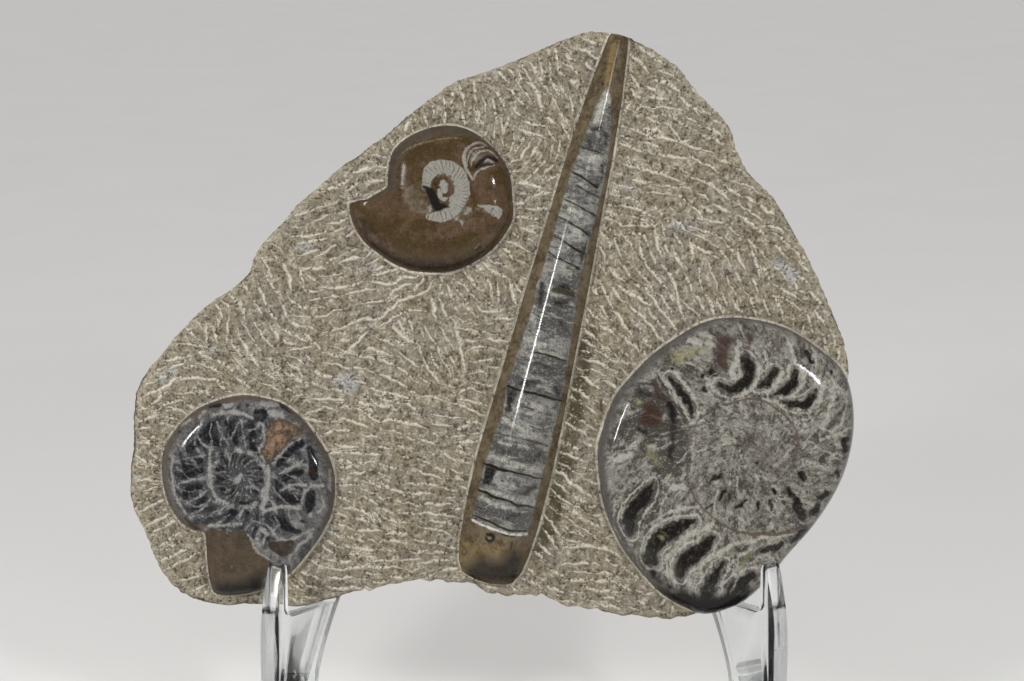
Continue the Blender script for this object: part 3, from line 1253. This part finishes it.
# ---------------------------------------------------------------------------------------
# The stone
# ---------------------------------------------------------------------------------------
# The long chisel marks: places along each, in grid steps
LONG_MARKS = [
    # the left flank, over the small goniatite
    *shapes("""
        258,282 264,305; 265,275 272,287 283,300; 283,262 288,276 291,290; 298,266 303,285; 240,300
        246,320; 243,284 248,292; 229,315 227,330 226,345; 205,322 208,343; 186,328 196,338;
        238,330 244,345 258,366; 252,318 262,335 275,350; 216,318 218,328; 180,345 198,346 215,348;
        164,360 190,357; 170,369 185,362; 225,350 238,362 253,377; 198,352 212,358; 145,396 160,389
        180,376; 150,404 167,392; 178,379 200,378 222,382; 215,382 232,394; 176,392 196,394;
        235,378 252,390; 262,383 280,391; 270,368 282,380; 288,350 310,347; 303,353 313,361;
        288,364 300,372; 300,332 312,341 322,352; 268,310 276,318; 280,305 288,318; 222,300 230,310
    """),
    # between the left flank and the brown goniatite
    *shapes("""
        290,236 310,236 328,230; 300,244 325,238; 298,254 318,250; 316,259 326,250 337,243; 340,262
        360,256; 345,236 358,230; 302,268 325,269; 322,288 345,287 362,282; 345,294 375,288;
        310,299 326,297; 362,303 382,301 400,297; 290,315 306,318 322,316 345,308; 322,332 342,328
        362,320 380,317 400,302 425,292 433,281; 378,327 392,318 402,312 424,311; 345,352 356,344
        367,332; 370,276 388,272 400,266; 372,282 390,284 405,278 420,276; 388,297 397,289 412,283;
        360,260 376,248; 312,222 330,214; 320,208 338,200; 345,192 360,182; 352,172 372,168
    """),
    # the middle
    *shapes("""
        330,345 348,352 367,358 395,365 416,381; 325,363 350,367 376,373; 378,338 395,347; 392,325
        403,337 420,345; 398,352 418,366; 417,318 430,336 443,358 452,379; 418,342 425,362 441,387;
        430,298 436,319; 452,318 459,345 465,368; 440,328 453,349; 407,315 413,334; 455,329 475,331
        500,335; 468,350 482,347 496,349; 470,374 486,372; 455,395 468,390 486,394; 452,404 468,408
        486,417; 477,304 485,312 505,310; 487,257 497,264 509,268; 502,246 512,258; 500,240 515,244
        530,253; 497,282 499,302; 455,280 466,288 480,301; 446,284 452,298; 470,332 481,338;
        472,362 490,360; 358,400 372,412; 405,404 418,409; 420,395 444,400; 385,420 405,422
        426,427; 355,408 375,420 388,422; 303,415 318,409 335,409; 302,420 326,422; 370,388 390,394
        410,399
    """),
    # the top, left of the orthoceras
    *shapes("""
        505,86 511,90 517,98 527,108; 528,83 538,95 541,112; 550,60 551,71; 562,62 572,68 580,74;
        582,62 597,71; 560,84 568,98; 570,97 573,112; 581,95 583,108; 482,95 486,112; 492,98
        495,119; 507,116 503,132; 474,106 478,124; 524,122 535,125 545,126; 548,128 556,140;
        560,110 568,124; 518,72 523,80; 585,40 600,44; 538,143 531,156; 560,140 556,160; 546,160
        536,172 524,181; 515,185 530,184 545,190; 534,196 550,192; 500,118 503,145; 478,110
        483,126; 462,112 464,124; 445,112 445,124; 425,114 427,126; 410,118 404,134; 510,205
        525,203; 515,218 538,219; 522,228 538,233
    """),
    # the top, right of the orthoceras
    *shapes("""
        638,106 655,107 672,108 686,113; 640,104 632,116; 655,80 668,84 680,92; 690,84 698,96;
        680,98 690,106 699,113; 665,122 672,128 681,137; 632,130 655,137 690,141; 646,150 668,156
        690,159; 676,140 690,146 712,152; 690,155 705,165 720,173; 625,165 650,171 681,181; 635,193
        655,192 672,196; 690,176 705,184 725,192; 622,205 637,209 652,216; 618,224 634,226; 640,226
        655,224; 690,205 706,221; 715,205 728,213; 730,150 748,158; 735,168 755,178; 655,185
        690,189; 632,75 640,88
    """),
    # the right flank, over the large goniatite
    *shapes("""
        668,203 675,212; 690,218 708,220 722,224 740,236; 745,236 755,245 767,257; 710,183 720,192
        731,200; 614,235 620,258; 618,262 631,276; 653,222 656,238 661,256; 640,245 644,262;
        645,262 656,275 666,288; 662,264 672,279 677,300 684,316; 688,241 693,263; 697,262 703,291;
        708,262 713,277 719,291; 722,266 728,281 735,296; 690,247 702,250 716,257; 752,246 756,262
        760,277; 738,250 744,268; 770,262 786,280; 775,285 800,299; 745,290 751,303 757,316;
        732,300 742,312; 763,295 770,316; 718,300 724,314; 683,300 690,308 700,318; 645,287 655,302
        665,316 678,331; 628,303 645,320 665,344; 618,285 632,295 648,306; 600,284 607,298 612,306;
        612,310 622,322 632,336; 600,325 615,336; 620,335 638,350; 600,343 612,352; 585,360 600,364
        616,371; 582,378 600,388; 815,310 824,324; 822,335 830,355; 770,225 782,232; 760,205
        775,215
    """),
    # under the middle
    *shapes("""
        405,485 430,484 455,491; 380,483 392,490 408,496; 362,488 376,494; 404,503 425,505 455,503;
        400,513 430,514 456,517; 418,527 440,532 452,536; 352,530 380,531; 388,534 410,534; 345,545
        360,549 376,549; 320,568 345,570 362,567 400,568; 420,563 450,561; 325,588 350,589 372,589;
        420,580 433,574; 415,469 430,476 442,478; 345,453 378,456; 440,452 458,462; 455,430
        468,427; 370,510 382,522; 350,475 365,471; 396,445 412,450; 360,435 380,438; 420,440
        434,445
    """),
    # between the orthoceras and the large goniatite
    *shapes("""
        563,420 574,427 587,436; 560,450 585,462; 555,470 575,486 592,500; 550,488 566,502 585,512;
        560,515 580,528 600,541; 545,530 551,541 557,551; 585,480 604,488; 590,455 602,458; 585,405
        598,415; 565,548 590,545 612,552 620,558; 540,545 552,555; 560,565 585,563 600,566; 590,580
        615,582; 625,570 640,580
    """),
    # round the small goniatite
    *shapes("""
        140,421 160,415; 148,452 161,462; 142,437 160,440; 140,510 150,506 166,499; 148,525
        168,514; 160,545 180,534; 165,570 180,563 198,554; 180,582 200,575; 190,592 207,585;
        145,490 162,486; 155,470 163,474; 336,430 352,432; 336,445 356,448; 338,462 354,464;
        338,480 350,480; 335,497 350,501; 332,512 348,518; 326,530 342,538; 318,545 334,554;
        308,560 325,568; 300,572 320,580
    """),
]


@dataclass
class ChiselMarks:
    """The chisel marks over the face: the long ones, and the short ones cut between them.

    Short marks are laid one by one where there is room, each along the way that the long
    marks near it run, and square to a goniatite's rim close by it.
    """

    clearance: Callable[[np.ndarray], np.ndarray]     # room to fossils and edge, in steps
    goniatites: Sequence[Outline]
    spacing: float = 7.6             # from one mark to the next, in grid steps
    shortest: float = 9.0
    reach: Pair = (6.0, 20.0)        # how far a mark may run each way from its middle
    half_width: Pair = (1.10, 2.05)
    bend: float = 2.2                # how far a mark wanders from its line
    halo: float = 13.0               # how far out marks stand square to a goniatite
    seed: int = 11
    samples: list[tuple[float, ...]] = field(default_factory=list)
    cells: dict[tuple[int, int], list[Pair]] = field(default_factory=dict)

    def __post_init__(self) -> None:
        """Lay the long marks, then fill the room between them."""
        self.chance = random.Random(self.seed)
        self._read_directions()
        self._map_room()
        for mark in LONG_MARKS:
            self._cut(self._even(smooth_curve(mark, 8, False)), 1.0)
        self._fill()

    def _read_directions(self) -> None:
        """Note the middle and the direction of each span of the long marks."""
        spans = []
        for mark in LONG_MARKS:
            spans += [(*(a + b) / 2, *(b - a)) for a, b in zip(mark[:-1], mark[1:])]
        x, y, dx, dy = np.array(spans).T
        turn = 2.0 * np.arctan2(dy, dx)
        self.guides = (x, y, np.cos(turn), np.sin(turn))

    def _map_room(self) -> None:
        """Work out the room round every second step of the grid."""
        x, y = np.meshgrid(*(np.arange(0, size, 2) for size in GRID_SIZE))
        places = np.stack(((x.ravel() - GRID_X) * STEP, (GRID_Y - y.ravel()) * STEP), 1)
        self.room = self.clearance(places).reshape(x.shape)
        self.rims = [g.clearance(places).reshape(x.shape) / STEP for g in self.goniatites]

    def _room_at(self, x: float, y: float) -> float:
        """The room at a place of the grid."""
        row, column = int(y / 2 + 0.5), int(x / 2 + 0.5)
        if 0 <= row < self.room.shape[0] and 0 <= column < self.room.shape[1]:
            return float(self.room[row, column])
        return -1.0

    def _direction(self, x: float, y: float) -> Pair:
        """The way that marks run at a place: the long marks' ways, weighed by how near."""
        gx, gy, cosine, sine = self.guides
        weight = 1.0 / ((gx - x) ** 2 + (gy - y) ** 2 + 30.0) ** 1.8
        whole = weight.sum()
        c, s = (weight * cosine).sum() / whole, (weight * sine).sum() / whole
        row, column = int(y / 2 + 0.5), int(x / 2 + 0.5)
        for outline, rim in zip(self.goniatites, self.rims):
            away = max(0.0, rim[row, column])
            square = 1.6 * math.exp(-((away / self.halo) ** 2))
            cx = outline.centre[0] / STEP + GRID_X
            cy = GRID_Y - outline.centre[1] / STEP
            turn = 2.0 * math.atan2(y - cy, x - cx)
            c += square * math.cos(turn)
            s += square * math.sin(turn)
        angle = 0.5 * math.atan2(s, c)
        return math.cos(angle), math.sin(angle)

    def _even(self, points: np.ndarray) -> np.ndarray:
        """A curve's points, one step apart."""
        steps = np.hypot(*np.diff(points, axis=0).T)
        travelled = np.concatenate(([0.0], np.cumsum(steps)))
        even = np.arange(0.0, travelled[-1], 1.0)
        return np.stack([np.interp(even, travelled, points[:, k]) for k in (0, 1)], 1)

    def _ways(self, points: np.ndarray) -> np.ndarray:
        """The way that a curve runs at each of its points."""
        ways = np.gradient(points, axis=0)
        return ways / np.hypot(*ways.T)[:, None]

    def _crowded(self, x: float, y: float, least: float) -> bool:
        """Whether another mark is nearer than that."""
        column, row = int(x // 10), int(y // 10)
        for c in (column - 1, column, column + 1):
            for r in (row - 1, row, row + 1):
                for other_x, other_y in self.cells.get((c, r), ()):
                    if (other_x - x) ** 2 + (other_y - y) ** 2 < least * least:
                        return True
        return False

    def _cut(self, points: np.ndarray, strength: float) -> None:
        """Add a mark: wander from its line a little, taper it and note its samples."""
        count = len(points)
        if count < 4:
            return
        offset = self.bend * lumps(points, 9.0, 4.4) + 0.7 * lumps(points, 3.5, 8.8)
        ways = self._ways(points)
        points = points + np.stack((-ways[:, 1], ways[:, 0]), 1) * offset[:, None]
        ways = self._ways(points)
        share = np.linspace(0.0, 1.0, count)
        taper = np.clip(np.sin(math.pi * share), 0.0, 1.0) ** 0.45
        half = self.chance.uniform(*self.half_width) * (0.35 + 0.65 * taper)
        half *= 1.0 + 0.35 * lumps(points, 4.0, 2.1)
        for (x, y), (dx, dy), width in zip(points, ways, half):
            self.samples.append((x, y, dx, dy, width, strength))
            self.cells.setdefault((int(x // 10), int(y // 10)), []).append((x, y))

    def _run(self, x: float, y: float, way: Pair, reach: float, least: float) -> list[Pair]:
        """Follow the directions from a place as far as there is room."""
        path = []
        for _ in range(int(reach)):
            dx, dy = self._direction(x, y)
            if dx * way[0] + dy * way[1] < 0.0:
                dx, dy = -dx, -dy
            way = (dx, dy)
            x, y = x + dx, y + dy
            if self._room_at(x, y) < 2.2 or self._crowded(x, y, least):
                break
            path.append((x, y))
        return path

    def _fill(self) -> None:
        """Lay short marks from a shuffled grid of seeds."""
        seeds = [(x, y) for x in np.arange(126, 862, 4.0) for y in np.arange(30, 616, 4.0)]
        self.chance.shuffle(seeds)
        for x, y in seeds:
            x += self.chance.uniform(-2.0, 2.0)
            y += self.chance.uniform(-2.0, 2.0)
            sparse = 1.0 + 0.35 * noise.noise((x / 45.0, y / 45.0, 6.3))
            least = self.spacing * sparse
            if self._room_at(x, y) < 3.5 or self._crowded(x, y, least):
                continue
            way = self._direction(x, y)
            reach = self.chance.uniform(*self.reach)
            near = least * 0.62
            back = self._run(x, y, (-way[0], -way[1]), reach, near)
            ahead = self._run(x, y, way, reach, near)
            points = np.array(back[::-1] + [(x, y)] + ahead)
            if len(points) >= self.shortest:
                self._cut(points, self.chance.uniform(0.35, 1.0))

    @cached_property
    def tree(self) -> kdtree.KDTree:
        """The samples, sorted for finding the nearest."""
        tree = kdtree.KDTree(len(self.samples))
        for i, sample in enumerate(self.samples):
            tree.insert((sample[0], sample[1], 0.0), i)
        tree.balance()
        return tree

    def nearest(self, drawing: Drawing) -> tuple[np.ndarray, ...]:
        """Find the nearest mark.

        Args:
            drawing: The places to find it from.

        Returns:
            How far to its side a place is, how far from it in all, its half width there and
            its strength, all in grid steps.
        """
        found = [self.tree.find((x, y, 0.0))[1:] for x, y in zip(drawing.x, drawing.y)]
        which, away = np.array(found).T
        x, y, dx, dy, half, strength = np.array(self.samples)[which.astype(int)].T
        side = dx * (drawing.y - y) - dy * (drawing.x - x)
        return side, away, half, strength


@dataclass
class CarvedSlab:
    """The limestone: a carved face, a broken edge all round and a sawn back."""

    finish: Limestone
    goniatites: Sequence[Outline]
    orthoceras: Orthoceras
    thickness: float = 0.028
    columns: int = 366
    rows: int = 302
    edge_rounding: float = 0.0040    # how far in from its edge the face falls away
    edge_drop: float = 0.0011
    chip: float = 0.0009             # how deep the chips of its outline are
    broken_foot: float = 0.0016      # how much more its lower edge is broken away
    moat: float = 0.0016             # how much deeper the face is cut beside a fossil
    moat_width: float = 0.008
    pocket_inset: float = 0.0012     # how far inside a fossil's rim its pocket's wall is
    pocket_gap: float = 0.0003       # how far under a fossil its pocket's floor is
    outline: Outline = Outline("""
        48,235 61,229.5 74,221.5 83,209.5 94,198.5 99,184 111,170 120,156 128,140 136,122 142,106
        142.5,94 141.5,78 137.5,62 130,47 120.5,33.5 109.5,21.5 98,11 88,3 81,2.5 67,0.5 53,2 39,5
        19,9 1,10.5 -13,15 -37,15 -57,10.5 -77,5 -94,6.5 -111,6.5 -125,11 -134,23 -140,38 -144.5,52
        -143.5,76 -142,93 -131,108 -115,125 -99,137 -92,150 -78.5,165 -63.5,178.5 -45,192 -28,206
        -13,216 3,221 21,229 35,234.5
    """, (0.003, 0.108))
    # Lumps of the face: how wide, how high, seed
    face_lumps: Sequence[tuple[float, float, float]] = (
        (0.026, 0.0022, 3.1), (0.0115, 0.0017, 7.7), (0.0048, 0.0007, 12.9),
        (0.0021, 0.00028, 17.3),
    )
    # Down the broken edge: how far behind the face, how far in from the outline, how rough
    bands: Sequence[tuple[float, float, float]] = (
        (0.0012, 0.0000, 0.0002), (0.0040, 0.0002, 0.0004), (0.0068, 0.0001, 0.0008),
        (0.0095, 0.0000, 0.0010), (0.0128, 0.0005, 0.0013), (0.0160, 0.0012, 0.0016),
        (0.0193, 0.0019, 0.0016), (0.0225, 0.0026, 0.0016), (0.0253, 0.0035, 0.0014),
        (0.0280, 0.0046, 0.0012),
    )
    blue_spots: Sequence[np.ndarray] = shapes("""
        338,380,5 346,386,9 352,378,6; 300,247,4 312,246,4; 366,268,2 372,267,3; 212,349,3
        220,350,2; 628,188,5; 676,226,4 694,228,4; 729,268,3; 780,262,5 795,276,6; 137,478,4;
        160,380,4 170,372,5; 497,75,3 485,60,2; 325,525,3 330,530,3; 462,304,3
    """)
    pale_spots: Sequence[np.ndarray] = shapes("198,538,4 200,560,7 200,592,6")

    def __post_init__(self) -> None:
        """Work out the chipped outline and lay the chisel marks."""
        turn = np.linspace(-math.pi, math.pi, 4097)
        reach = self.outline.radius(turn)
        rim = self.outline.ray(turn, reach)
        chips = lumps(rim, 0.009, 1.3) + 0.9 * np.abs(lumps(rim, 0.0042, 5.9))
        self.rim_turns = turn
        self.rim_reach = reach + self.chip * chips + 0.3 * self.chip * lumps(rim, 0.0014, 9.1)
        foot = 1.3 * np.abs(lumps(rim, 0.0085, 8.8)) + 0.7 * lumps(rim, 0.0150, 2.6) - 0.5
        foot = foot + lumps(rim, 0.0031, 4.4) * ease(lumps(rim, 0.0110, 7.1), -0.10, 0.45)
        self.rim_reach += self.broken_foot * ease(-np.sin(turn), 0.35, 0.80) * foot
        self.marks = ChiselMarks(self.room, self.goniatites)

    def chipped(self, angles: np.ndarray) -> np.ndarray:
        """The broken outline's distance from the centre at these angles."""
        return np.interp(angles, self.rim_turns, self.rim_reach, period=math.tau)

    def beside(self, places: np.ndarray) -> np.ndarray:
        """How far outside the nearest fossil places are, with inside below 0."""
        away = [outline.clearance(places) for outline in self.goniatites]
        return np.minimum.reduce([*away, self.orthoceras.clearance(places)])

    def inland(self, places: np.ndarray) -> np.ndarray:
        """How far places are from the slab's broken edge, towards its centre."""
        return self.chipped(self.outline.angles_of(places)) - np.hypot(
            *(places - self.outline.centre).T)

    def room(self, places: np.ndarray) -> np.ndarray:
        """How far places are from the nearest fossil or edge, in grid steps."""
        return np.minimum(self.beside(places), self.inland(places) * 0.5) / STEP

    def face_levels(self, places: np.ndarray) -> np.ndarray:
        """How far the carved face stands out at places of it."""
        levels = sum(tall * lumps(places, size, seed) for size, tall, seed in self.face_lumps)
        beside = np.maximum(self.beside(places), 0.0)
        levels = levels - self.moat * np.exp(-((beside / self.moat_width) ** 2))
        worn = np.maximum(0.0, 1.0 - self.inland(places) / self.edge_rounding)
        levels -= self.edge_drop * worn ** 2
        side, away, half, strength = self.marks.nearest(Drawing.over(places))
        near = 1.0 - ease(away, 2.5, 4.5)
        groove = np.exp(-((side / (half * 0.85)) ** 2))
        lips = np.exp(-((np.abs(side) / half - 1.9) ** 2) * 2.0)
        levels += STEP * near * strength * (0.22 * lips - 0.95 * groove)
        return levels

    def build(self) -> bpy.types.Object:
        """Carve the face, leave pockets for the fossils, break the edge and dress it all."""
        bm, square = new_grid(self.columns, self.rows)
        angles, shares = square_to_disc(square)
        places = self.outline.ray(angles, shares * self.chipped(angles))
        settle(bm, places, self.face_levels(places))
        self._break_edge(bm)
        self._sink_pockets(bm)
        mesh = to_mesh(bm, "matrix_slab")
        self._wear(mesh)
        mesh.set_sharp_from_angle(angle=math.radians(48.0))
        return to_piece(mesh, "matrix_slab", self.finish.dress(), FACE_FRAME)

    def _break_edge(self, bm: bmesh.types.BMesh) -> None:
        """Lead the rim back in rough bands and close the sawn back."""
        rim = boundary(bm)
        for depth, inset, rough in self.bands:
            verts, rim = new_ring(bm, rim)
            before = np.array([vert.co.xy for vert in verts])
            angles = self.outline.angles_of(before)
            edge = self.outline.ray(angles, self.outline.radius(angles))
            broken = lumps(edge, 0.012, 40.0 + 160.0 * depth) - 0.45
            broken = broken + 0.45 * lumps(edge, 0.0040, 60.0 + 300.0 * depth)
            reach = self.chipped(angles) - inset + rough * broken
            for vert, (u, v) in zip(verts, self.outline.ray(angles, reach)):
                vert.co = (u, v, -depth)
        bmesh.ops.contextual_create(bm, geom=rim)

    def _sink_pockets(self, bm: bmesh.types.BMesh) -> None:
        """Take the face away under each fossil and sink a flat floor there."""
        verts = list(bm.verts)
        beside = self.beside(np.array([vert.co.xy for vert in verts]))
        under = {vert for vert, gap in zip(verts, beside)
                 if gap < -self.pocket_inset and vert.co.z > -SEAT}
        faces = [face for face in bm.faces if all(vert in under for vert in face.verts)]
        bmesh.ops.delete(bm, geom=faces, context="FACES")
        made, rim = new_ring(bm, boundary(bm))
        for vert in made:
            vert.co.z = -SEAT - self.pocket_gap
        bmesh.ops.holes_fill(bm, edges=rim, sides=0)

    def _wear(self, mesh: bpy.types.Mesh) -> None:
        """Let the mesh carry the marks, the wear and the stains."""
        whole = places_of(mesh)
        places = whole[:, :2]
        drawing = Drawing.over(places)
        side, away, half, strength = self.marks.nearest(drawing)
        beside = np.clip(self.beside(places) / STEP, -3.0, FAR)
        inland = self.inland(places) / STEP
        broken = ease(-whole[:, 2], 0.0040, 0.0075)
        carry(mesh, "cut", side, away + 40.0 * broken, half)
        wavy = drawing.wavy(9.0, 3.0, 5.5)
        inland = np.clip(inland, 0.0, FAR) * (1.0 - 0.85 * wavy.cover(self.pale_spots, 7.0))
        carry(mesh, "wear", beside, np.where(broken > 0.5, FAR, inland), strength)
        blue = wavy.cover(self.blue_spots) * (1.0 - broken)
        along, across = self.orthoceras.along_and_across(places)
        gap = across - self.orthoceras.half_width(along)
        trench = ease(gap, 0.0006, 0.0022) * (1.0 - ease(gap, 0.005, 0.009))
        trench *= ease(along, 0.090, 0.150) * (1.0 - ease(along, 0.200, 0.222))
        spots = ease(lumps(places, 0.0065, 3.9) + 0.4 * lumps(places, 0.0028, 1.9), -0.25, 0.35)
        mossy = np.clip(trench * (0.7 + 1.3 * spots), 0.0, 1.0) * (1.0 - broken)
        carry(mesh, "ground", broken, blue, mossy)


# ---------------------------------------------------------------------------------------
# The stand
# ---------------------------------------------------------------------------------------
@dataclass
class ClearStand:
    """The acrylic stand: a base plate and two notched arms, their cut edges eased."""

    finish: ClearSheet
    nodes: Sequence[str] = ("stand_base", "stand_arm_left", "stand_arm_right")
    rounding: float = 0.0005         # how far its sharp edges are eased
    merge: float = 0.00001           # below this, the solid's vertices are one
    clear_from: Pair = (0.068, 0.076)    # from where up the cut edges are polished

    def build(self) -> list[bpy.types.Object]:
        """Ease the edges of a copy of each sheet and dress it."""
        surface = self.finish.dress()
        return [self._sheet(node, surface) for node in self.nodes]

    def _sheet(self, node: str, surface: bpy.types.Material) -> bpy.types.Object:
        """One sheet, from the solid in the frame."""
        bm = bmesh.new()
        bm.from_mesh(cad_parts[node].data)
        bmesh.ops.remove_doubles(bm, verts=bm.verts, dist=self.merge)
        bmesh.ops.dissolve_limit(bm, angle_limit=math.radians(0.5), verts=bm.verts,
                                 edges=bm.edges)
        corners = [edge for edge in bm.edges if edge.calc_face_angle(0.0) > math.radians(60.0)]
        bmesh.ops.bevel(
            bm, geom=corners, offset=self.rounding, offset_type="OFFSET", segments=3,
            profile=0.5, affect="EDGES", material=-1, clamp_overlap=True,
        )
        mesh = to_mesh(bm, node)
        mesh.set_sharp_from_angle(angle=math.radians(35.0))
        widest = max(mesh.polygons, key=lambda face: face.area).normal
        sawn = np.zeros(len(mesh.vertices))
        for face in mesh.polygons:
            if abs(face.normal.dot(widest)) < 0.5:
                sawn[list(face.vertices)] = 1.0
        cleared = ease(places_of(mesh)[:, 2], *self.clear_from)
        carry(mesh, "sawn", sawn * (1.0 - 0.70 * cleared))
        return to_piece(mesh, node, surface)


# ---------------------------------------------------------------------------------------
# The studio
# ---------------------------------------------------------------------------------------
class Lamp(Enum):
    """The soft lamps: place in the slab's frame, width, height, roll, watts, seen in gloss."""

    LEFT = ((-0.53, 0.305, 0.76), 0.042, 0.170, -14.0, 1.6, True)
    RIGHT = ((0.54, 0.37, 1.10), 0.040, 0.090, 0.0, 1.4, True)
    LEFT_FILL = ((-0.53, 0.305, 0.76), 0.16, 0.20, -14.0, 3.8, False)
    RIGHT_FILL = ((0.54, 0.37, 1.10), 0.16, 0.16, 0.0, 5.2, False)


@dataclass
class Studio:
    """A pale floor, soft lights and a camera square to the carved face."""

    floor: PaleFloor
    floor_radius: float = 12.0
    floor_gap: float = 0.0004        # keeps the stand's clear base from lying in the floor
    aim: tuple[float, float, float] = (0.0, 0.11, 0.0)
    view_width: float = 0.4096       # how much of the face the picture takes in
    sky: Colour = (0.22, 0.22, 0.23)
    floor_light: float = 2.4

    def build(self) -> None:
        """Lay the floor, hang the lights and set up the camera."""
        self._lay_floor()
        for lamp in Lamp:
            self._hang(lamp)
        self._light_floor()
        self._aim_camera()
        world = bpy.data.worlds.new("studio")
        world.use_nodes = True
        world.node_tree.nodes["Background"].inputs[0].default_value = (*self.sky, 1.0)
        bpy.context.scene.world = world
        bpy.context.scene.view_settings.view_transform = "Standard"

    def _lay_floor(self) -> None:
        """A wide round floor."""
        bm = bmesh.new()
        bmesh.ops.create_circle(bm, cap_ends=True, segments=96, radius=self.floor_radius)
        mesh = bpy.data.meshes.new("floor")
        bm.to_mesh(mesh)
        bm.free()
        mesh.materials.append(self.floor.dress())
        floor = bpy.data.objects.new("floor", mesh)
        floor.location.z = -self.floor_gap
        bpy.context.scene.collection.objects.link(floor)

    def _hang(self, lamp: Lamp) -> None:
        """Hang one light, turned to the middle of the face."""
        place, width, height, roll, watts, glossy = lamp.value
        light = bpy.data.lights.new(lamp.name.lower(), "AREA")
        light.shape = "RECTANGLE"
        light.size = width
        light.size_y = height
        light.energy = watts
        hung = bpy.data.objects.new(light.name, light)
        hung.visible_glossy = glossy
        where = FACE_FRAME @ Vector(place)
        towards = FACE_FRAME @ Vector(self.aim) - where
        turn = towards.to_track_quat("-Z", "Y").to_matrix().to_4x4()
        hung.matrix_world = (Matrix.Translation(where) @ turn
                             @ Matrix.Rotation(math.radians(roll), 4, "Z"))
        bpy.context.scene.collection.objects.link(hung)

    def _light_floor(self) -> None:
        """Light the floor evenly from above and behind, past the slab's face."""
        light = bpy.data.lights.new("overhead", "SUN")
        light.energy = self.floor_light
        light.angle = math.radians(40.0)
        hung = bpy.data.objects.new(light.name, light)
        hung.visible_glossy = False
        hung.matrix_world = Matrix.Rotation(math.radians(-25.0), 4, "X")
        bpy.context.scene.collection.objects.link(hung)

    def _aim_camera(self) -> None:
        """Set the camera square to the face, as wide as the view."""
        lens = bpy.data.cameras.new("camera")
        lens.sensor_width = 36.0
        lens.lens = lens.sensor_width * VIEW[2] / self.view_width
        camera = bpy.data.objects.new("camera", lens)
        camera.matrix_world = FACE_FRAME @ Matrix.Translation(VIEW)
        bpy.context.scene.collection.objects.link(camera)
        bpy.context.scene.camera = camera


def main() -> None:
    """Build the studio, the slab with its fossils, and the stand."""
    logging.basicConfig(level=logging.INFO, format="%(name)s: %(message)s")
    Studio(PaleFloor()).build()
    orthoceras = Orthoceras(PolishedCalcite(
        "polished banded calcite", ground=((0.075, 0.072, 0.068), (0.205, 0.198, 0.180)),
        tan=((0.066, 0.047, 0.026), (0.124, 0.098, 0.060)), rust=(0.170, 0.120, 0.046),
        wall=(0.345, 0.340, 0.285), seam=(0.032, 0.025, 0.013),
        black=(0.012, 0.009, 0.005), speck_size=0.0007, cloudy=0.5, polish=0.095, dull=0.10,
        gloss=0.32))
    shells = [
        LargeGoniatite(
            "large_goniatite", "grey_calcite", LARGE_OUTLINE, 0.0094,
            PolishedCalcite("polished grey calcite",
                            ground=((0.056, 0.051, 0.044), (0.205, 0.194, 0.166)),
                            wall=(0.330, 0.318, 0.275), rust=(0.036, 0.017, 0.012),
                            tan=((0.120, 0.108, 0.058), (0.220, 0.205, 0.125)),
                            chamber=((0.008, 0.007, 0.005), (0.050, 0.042, 0.034)),
                            rim=(0.110, 0.100, 0.098), veins=0.75, dull=0.05),
            coil=(757.0, 448.0), swirl=0.6, core=42.0, cells=280, gentle=0.0066),
        SmallGoniatite(
            "small_goniatite", "dark_calcite", SMALL_OUTLINE, 0.0080,
            PolishedCalcite("polished dark calcite",
                            ground=((0.052, 0.051, 0.052), (0.125, 0.122, 0.116)),
                            chamber=((0.009, 0.009, 0.010), (0.040, 0.040, 0.043)),
                            tan=((0.050, 0.037, 0.024), (0.069, 0.050, 0.031)),
                            rust=(0.230, 0.146, 0.098), seam=(0.026, 0.014, 0.006),
                            rim=(0.098, 0.078, 0.058), wall=(0.240, 0.235, 0.215)),
            coil=(238.0, 478.0), swirl=-0.8, lip=0.0040),
        BrownGoniatite(
            "brown_goniatite", "brown_calcite", BROWN_OUTLINE, 0.0080,
            PolishedCalcite("polished brown calcite",
                            ground=((0.048, 0.031, 0.012), (0.078, 0.049, 0.028)),
                            chamber=((0.014, 0.008, 0.005), (0.036, 0.023, 0.012)),
                            tan=((0.080, 0.060, 0.034), (0.130, 0.104, 0.072)),
                            rust=(0.095, 0.060, 0.043), rim=(0.066, 0.056, 0.043),
                            cream=(0.226, 0.218, 0.190), wall=(0.180, 0.135, 0.070), mottle=0.10,
                            veins=0.05, cloudy=0.85, dull=0.45),
            coil=(444.0, 190.0), swirl=0.5, cells=200, lip=0.0035),
    ]
    CarvedSlab(Limestone(), [shell.outline for shell in shells], orthoceras).build()
    for shell in shells:
        shell.build()
    orthoceras.build()
    ClearStand(ClearSheet()).build()


if __name__ == "__main__":
    main()
